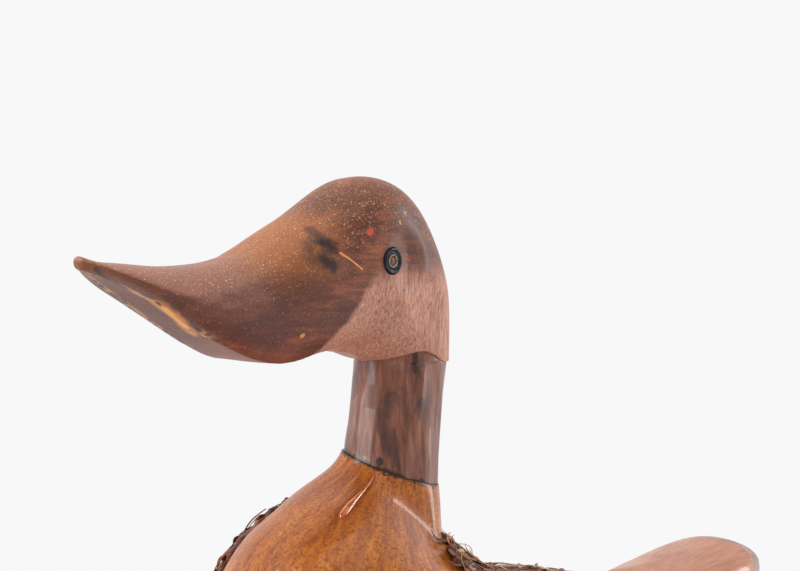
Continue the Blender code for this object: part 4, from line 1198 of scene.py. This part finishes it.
def strandPaths(spec, count, rng, length, lift, curl):
    # each strand starts at random on the mat, runs back and down with its own bend, and rises at its tip
    steps = matLook["steps"]
    u = rng.uniform(0.0, 0.93, count)
    share = rng.uniform(spec["low"] + 0.01, spec["high"] - 0.005, count)
    around = matEdge(spec, u, share)
    perAround, perShare = speeds(around, share)
    heading = rng.normal(0.0, 0.75, count) + np.where(rng.random(count) < 0.25, math.pi / 2, 0)
    bend = rng.normal(0, curl, count)
    reach = rng.uniform(0.4, 1.0, count) * length
    t = np.linspace(0, 1, steps)
    direction = 1.0 if spec["lean"] >= 0 else -1.0
    angle = heading[:, None] + bend[:, None] * t**1.5
    advance = np.cumsum(np.cos(angle), 1) / steps * reach[:, None]
    climb = np.cumsum(np.sin(angle), 1) / steps * reach[:, None]
    a = around[:, None] + direction * advance / np.maximum(perAround, 0.02)[:, None]
    s = share[:, None] - climb / np.maximum(perShare, 0.05)[:, None]
    s = np.clip(s, spec["low"] - 0.01, spec["high"])
    low, high = min(spec["from"], spec["to"]), max(spec["from"], spec["to"])
    a = np.clip(a, low - 0.003, high + 0.003)
    tip = rng.uniform(0, 1, count)[:, None] ** 3 * lift * spec["loose"]
    base = rng.uniform(0.9, 2.6, count)[:, None] * mm * spec["thick"]
    height = base * (0.75 + 0.25 * np.sin(t * math.pi)) + tip * t**3
    return bodySurface(a, s) + bodyNormals(a, s) * height[..., None], bodyNormals(a, s)


def makeStrands(side):
    # long flat strands, thin curly ones and a few thick ones, each tapered to both ends
    spec = matLook[side]
    rng = np.random.default_rng(spec["seed"])
    grids, tones = [], []
    for portion, length, lift, curl, thick, flat in matLook["kinds"]:
        count = int(spec["strands"] * portion)
        path, normal = strandPaths(spec, count, rng, length, lift, curl)
        t = np.linspace(0, 1, matLook["steps"])
        taper = np.sqrt(np.clip(1 - (2 * t - 0.8).clip(-1, 1.18) ** 2 / 1.45, 0.03, 1))
        radius = rng.uniform(*thick, count)[:, None] * mm * taper
        grids.append(tubeGrid(path, radius, matLook["sides"], flat=flat, up=normal))
        tone = spec["light"] + (1 - spec["light"]) * rng.random(count)
        tones.append(np.broadcast_to(tone[:, None, None], grids[-1].shape[:3]))
    return joinTubes(f"{side}_fibre_strands", np.concatenate(grids), np.concatenate(tones))


def joinTubes(name, grids, tones):
    # many tubes of the same count of points as one mesh, each closed at both ends
    count, rows, sides = grids.shape[:3]
    quads = gridFaces(rows, sides)
    starts = np.arange(count)[:, None, None] * rows * sides
    faces = (quads[None] + starts).reshape(-1, 4).tolist()
    low = np.arange(sides)[None, ::-1] + starts[:, 0]
    high = np.arange(sides)[None, :] + (rows - 1) * sides + starts[:, 0]
    faces += low.tolist() + high.tolist()
    return addPiece(name, grids.reshape(-1, 3), faces, {"tone": tones}, smooth=60)


def fibreFinish():
    root = Finish("root_fibre", Specular_IOR_Level=0.45)
    tone = root.mark("tone")
    mottle = root.noise(root.object, 420, 5, 0.6)
    along = root.noise(root.scaled(0.3, 1, 1), 900, 4)
    base = root.ramp(
        tone, (0.0, paint(58, 40, 34)), (0.3, paint(98, 66, 48)), (0.55, paint(136, 96, 70)),
        (0.8, paint(178, 132, 98)), (1.0, paint(224, 184, 146)),
    )
    base = root.mix((1 - mottle.between(0.35, 0.50)) * 0.4, base, paint(60, 40, 32))
    return root.wear(Base_Color=base, Roughness=0.5 + mottle * 0.2, Normal=root.bump(along, 0.5, 0.2 * mm))


def skinFinish():
    bark = Finish("matted_bark", Coat_Roughness=0.25)
    coarse = bark.noise(bark.scaled(0.5, 1, 1), 190, 6, 0.65, 0.8)
    mottle = bark.noise(bark.object, 60, 4)
    fine = bark.noise(bark.scaled(0.25, 1, 1), 1400, 4, 0.6)
    base = bark.ramp(
        coarse, (0.30, paint(50, 32, 26)), (0.46, paint(112, 66, 42)), (0.60, paint(170, 100, 58)),
        (0.76, paint(204, 140, 92)),
    )
    base = bark.mix(mottle.between(0.45, 0.65) * 0.5, base, paint(66, 46, 40))
    coat = coarse.between(0.4, 0.7) * 0.4
    normal = bark.bump(coarse + fine * 0.4, 0.9, 0.9 * mm)
    return bark.wear(Base_Color=base, Roughness=0.42 + mottle * 0.25, Coat_Weight=coat, Normal=normal)


hairLook = {
    "radius": 0.15 * mm, "points": 16, "sides": 5, "tone": 0.97, "off": 1.5,
    "arches": (  # start round the body and up it, run, fall, and rise in millimetres
        (0.290, 0.850, 0.085, 0.030, 6.5), (0.330, 0.820, 0.060, 0.040, 5.0),
        (0.400, 0.760, 0.050, 0.020, 4.5), (0.455, 0.700, -0.050, 0.040, 2.8),
        (0.350, 0.760, 0.040, 0.080, 2.4), (0.560, 0.790, 0.060, 0.070, 3.0),
        (0.700, 0.700, -0.060, 0.080, 2.6), (0.860, 0.640, -0.050, 0.090, 2.6),
        (0.640, 0.560, -0.050, 0.100, 2.4),
    ),
}


def makeHairs():
    # a few thin light hairs that stand off the back in low arches: a sine over the body's surface
    t = np.linspace(0, 1, hairLook["points"])
    radius = np.full(hairLook["points"], hairLook["radius"])
    grids = []
    for around, share, run, fall, rise in hairLook["arches"]:
        a = around + run * t
        s = share - fall * t**1.4
        lift = (hairLook["off"] + rise * np.sin(t * math.pi)) * mm
        normal = bodyNormals(a, s)
        path = bodySurface(a, s) + normal * lift[:, None]
        grids.append(tubeGrid(path, radius, hairLook["sides"], up=normal))
    grids = np.stack(grids)
    return joinTubes("fibre_hairs", grids, np.full(grids.shape[:3], hairLook["tone"]))


fibre = fibreFinish()
matted = skinFinish()
for side, node in (("left", "left_flank_mat"), ("right", "right_flank_mat"), ("back", "back_mat")):
    put(makeMatSkin(side), matted, "float", "root_fibre", node)
    put(makeStrands(side), fibre, "float", "root_fibre")
put(makeHairs(), fibre, "float", "root_fibre")
print("fibre laid")


# ---- tacks, ring, staple and the pieces inside

tackLook = {
    "spots": {
        "back": ((21.5, 14.5), (26.5, 14.5), (21.5, 16.5), (26.5, 16.5)),
        "left": ((12.5, 7.5), (15.5, 7.5), (18.5, 10.5), (13.5, 12.5)),
        "right": ((40.5, 7.5), (33.5, 7.5), (29.5, 10.5), (37.5, 12.5)),
    },
    "sides": 48, "levels": 21, "radius": 3.2 * mm, "shank": 0.8 * mm, "stand": 3.0 * mm, "depth": 8 * mm,
    "crown": 1.3 * mm,
}


def brassFinish():
    metal = Finish("old_brass", Metallic=1.0)
    patch = metal.noise(metal.object, 240, 5)
    fine = metal.noise(metal.object, 1800, 3)
    base = metal.ramp(
        patch, (0.32, (0.10, 0.055, 0.025)), (0.52, (0.40, 0.26, 0.11)), (0.72, (0.62, 0.45, 0.20)),
    )
    normal = metal.bump(patch + fine * 0.3, 0.2, 0.15 * mm)
    return metal.wear(Base_Color=base, Roughness=0.28 + patch * 0.25, Normal=normal)


def steelFinish():
    metal = Finish("dull_steel", Metallic=1.0)
    patch = metal.noise(metal.object, 260, 5)
    rust = metal.noise(metal.object, 90, 4).between(0.56, 0.68)
    base = metal.ramp(patch, (0.35, (0.20, 0.19, 0.18)), (0.65, (0.46, 0.45, 0.43)))
    base = metal.mix(rust * 0.5, base, (0.16, 0.07, 0.035))
    normal = metal.bump(patch, 0.25, 0.15 * mm)
    return metal.wear(Base_Color=base, Roughness=0.32 + patch * 0.25, Normal=normal)


def makeTack(side, number, spot, finish):
    # a domed head on a shank: a profile of (radius, height) turned about the body's normal
    t = tackLook
    middle = (neckFoot["x"], 0, bodyShape["levels"][1])
    axis = surfaceAxis(bodySurface, spot[0] / t["sides"], spot[1] / t["levels"], middle)
    angles = np.linspace(0, math.pi / 2, 9)
    dome = [(t["radius"] * math.cos(a), t["stand"] + t["crown"] * math.sin(a)) for a in angles[:-1]]
    point = t["stand"] - t["depth"]
    profile = [
        (pole, point), (t["shank"], point + t["shank"] * 2), (t["shank"], t["stand"]),
        (t["radius"], t["stand"] - 0.15 * mm), *dome, (pole, t["stand"] + t["crown"]),
    ]
    piece = turnedSolid(f"{side}_tack_{number}", profile, axis, 36)
    put(piece, finish, "float", "brass", f"{side}_mat_tack_{number}")


lineLook = {
    "ring": 8.0 * mm, "ringWire": 1.1 * mm, "ringSteps": 96, "wireSides": 20, "hang": 5.3 * mm,
    "staple": 5.3 * mm, "stapleWire": 1.3 * mm, "bend": 3.0 * mm, "stand": 11 * mm, "bite": 12 * mm,
}


def makeRing():
    # a circle in the upright plane across the duck, with a circle of wire carried round it
    r = lineLook
    angle = np.arange(r["ringSteps"]) / r["ringSteps"] * turn
    centre = np.array(barPlace) - np.array([0, 0, r["hang"]])
    ring = np.stack([0 * angle, r["ring"] * np.cos(angle), r["ring"] * np.sin(angle)], -1)
    around = (np.arange(r["wireSides"]) / r["wireSides"] * turn)[None, :, None]
    outwardStep = ring / r["ring"]
    wire = outwardStep[:, None, :] * np.cos(around) + np.array([1.0, 0, 0]) * np.sin(around)
    grid = centre + ring[:, None, :] + wire * r["ringWire"]
    faces = gridFaces(r["ringSteps"], r["wireSides"], wrapRows=True)
    return addPiece("anchor_ring_wire", grid.reshape(-1, 3), faces)


def makeStaple():
    # one leg in, round a quarter bend, along the bar, round the other bend and out
    r = lineLook
    quarter = np.linspace(0, math.pi / 2, 10)
    inner = barPlace.x + r["stand"] + r["bite"]
    halfX = barPlace.x + r["bend"] * (1 - np.sin(quarter))
    halfY = -(r["staple"] - r["bend"] * (1 - np.cos(quarter)))
    x = np.concatenate([[inner, inner - r["bite"]], halfX, halfX[::-1], [inner - r["bite"], inner]])
    y = np.concatenate([[-r["staple"]] * 2, halfY, -halfY[::-1], [r["staple"]] * 2])
    path = np.stack([x, y, 0 * x + barPlace.z], -1)
    width = np.full(len(path), r["stapleWire"])
    width[[0, -1]] = 0.3 * mm
    return skinPiece("staple_wire", tubeGrid(path, width, r["wireSides"]))


brass = brassFinish()
steel = steelFinish()
for side, spots in tackLook["spots"].items():
    for number, spot in enumerate(spots, 1):
        makeTack(side, number, spot, brass)
put(makeRing(), brass, "anchor_ring", "brass", "line_ring")
put(makeStaple(), steel, "float", "steel", "line_staple")


def coatFrame(material, *nodes):
    # frame nodes keep their own shape and get a better finish
    for node in nodes:
        obj = bpy.data.objects[node]
        obj.data.materials.clear()
        obj.data.materials.append(material)


tones = (0.35, (0.10, 0.105, 0.115)), (0.65, (0.25, 0.26, 0.28))
lead = plainFinish("cast_lead", 140, 6, tones, (0.5, 0.2), (0.5, 0.4 * mm), Metallic=0.8)
tones = (0.35, paint(74, 44, 28)), (0.65, paint(120, 78, 50))
leather = plainFinish("washer_leather", 700, 5, tones, (0.6, 0.2), (0.5, 0.2 * mm))
tones = (0.35, paint(150, 110, 72)), (0.65, paint(196, 158, 112))
dowelWood = plainFinish("plain_dowel", 700, 6, tones, (0.55, 0.15), (0.3, 0.2 * mm), grain=(1, 1, 0.1))
coatFrame(brass, "head_insert", "bolt_washer", "neck_bush", "body_bush")
coatFrame(steel, "head_bolt", "spring_washer", "lock_nut", "keel_screw_front", "keel_screw_rear")
coatFrame(lead, "keel_weight")
coatFrame(leather, "seam_washer")
dowels = [f"{place}_dowel_{side}" for place in ("neck", "tail") for side in ("left", "right")]
coatFrame(dowelWood, "bottom_plug", *dowels)
print("fittings placed")
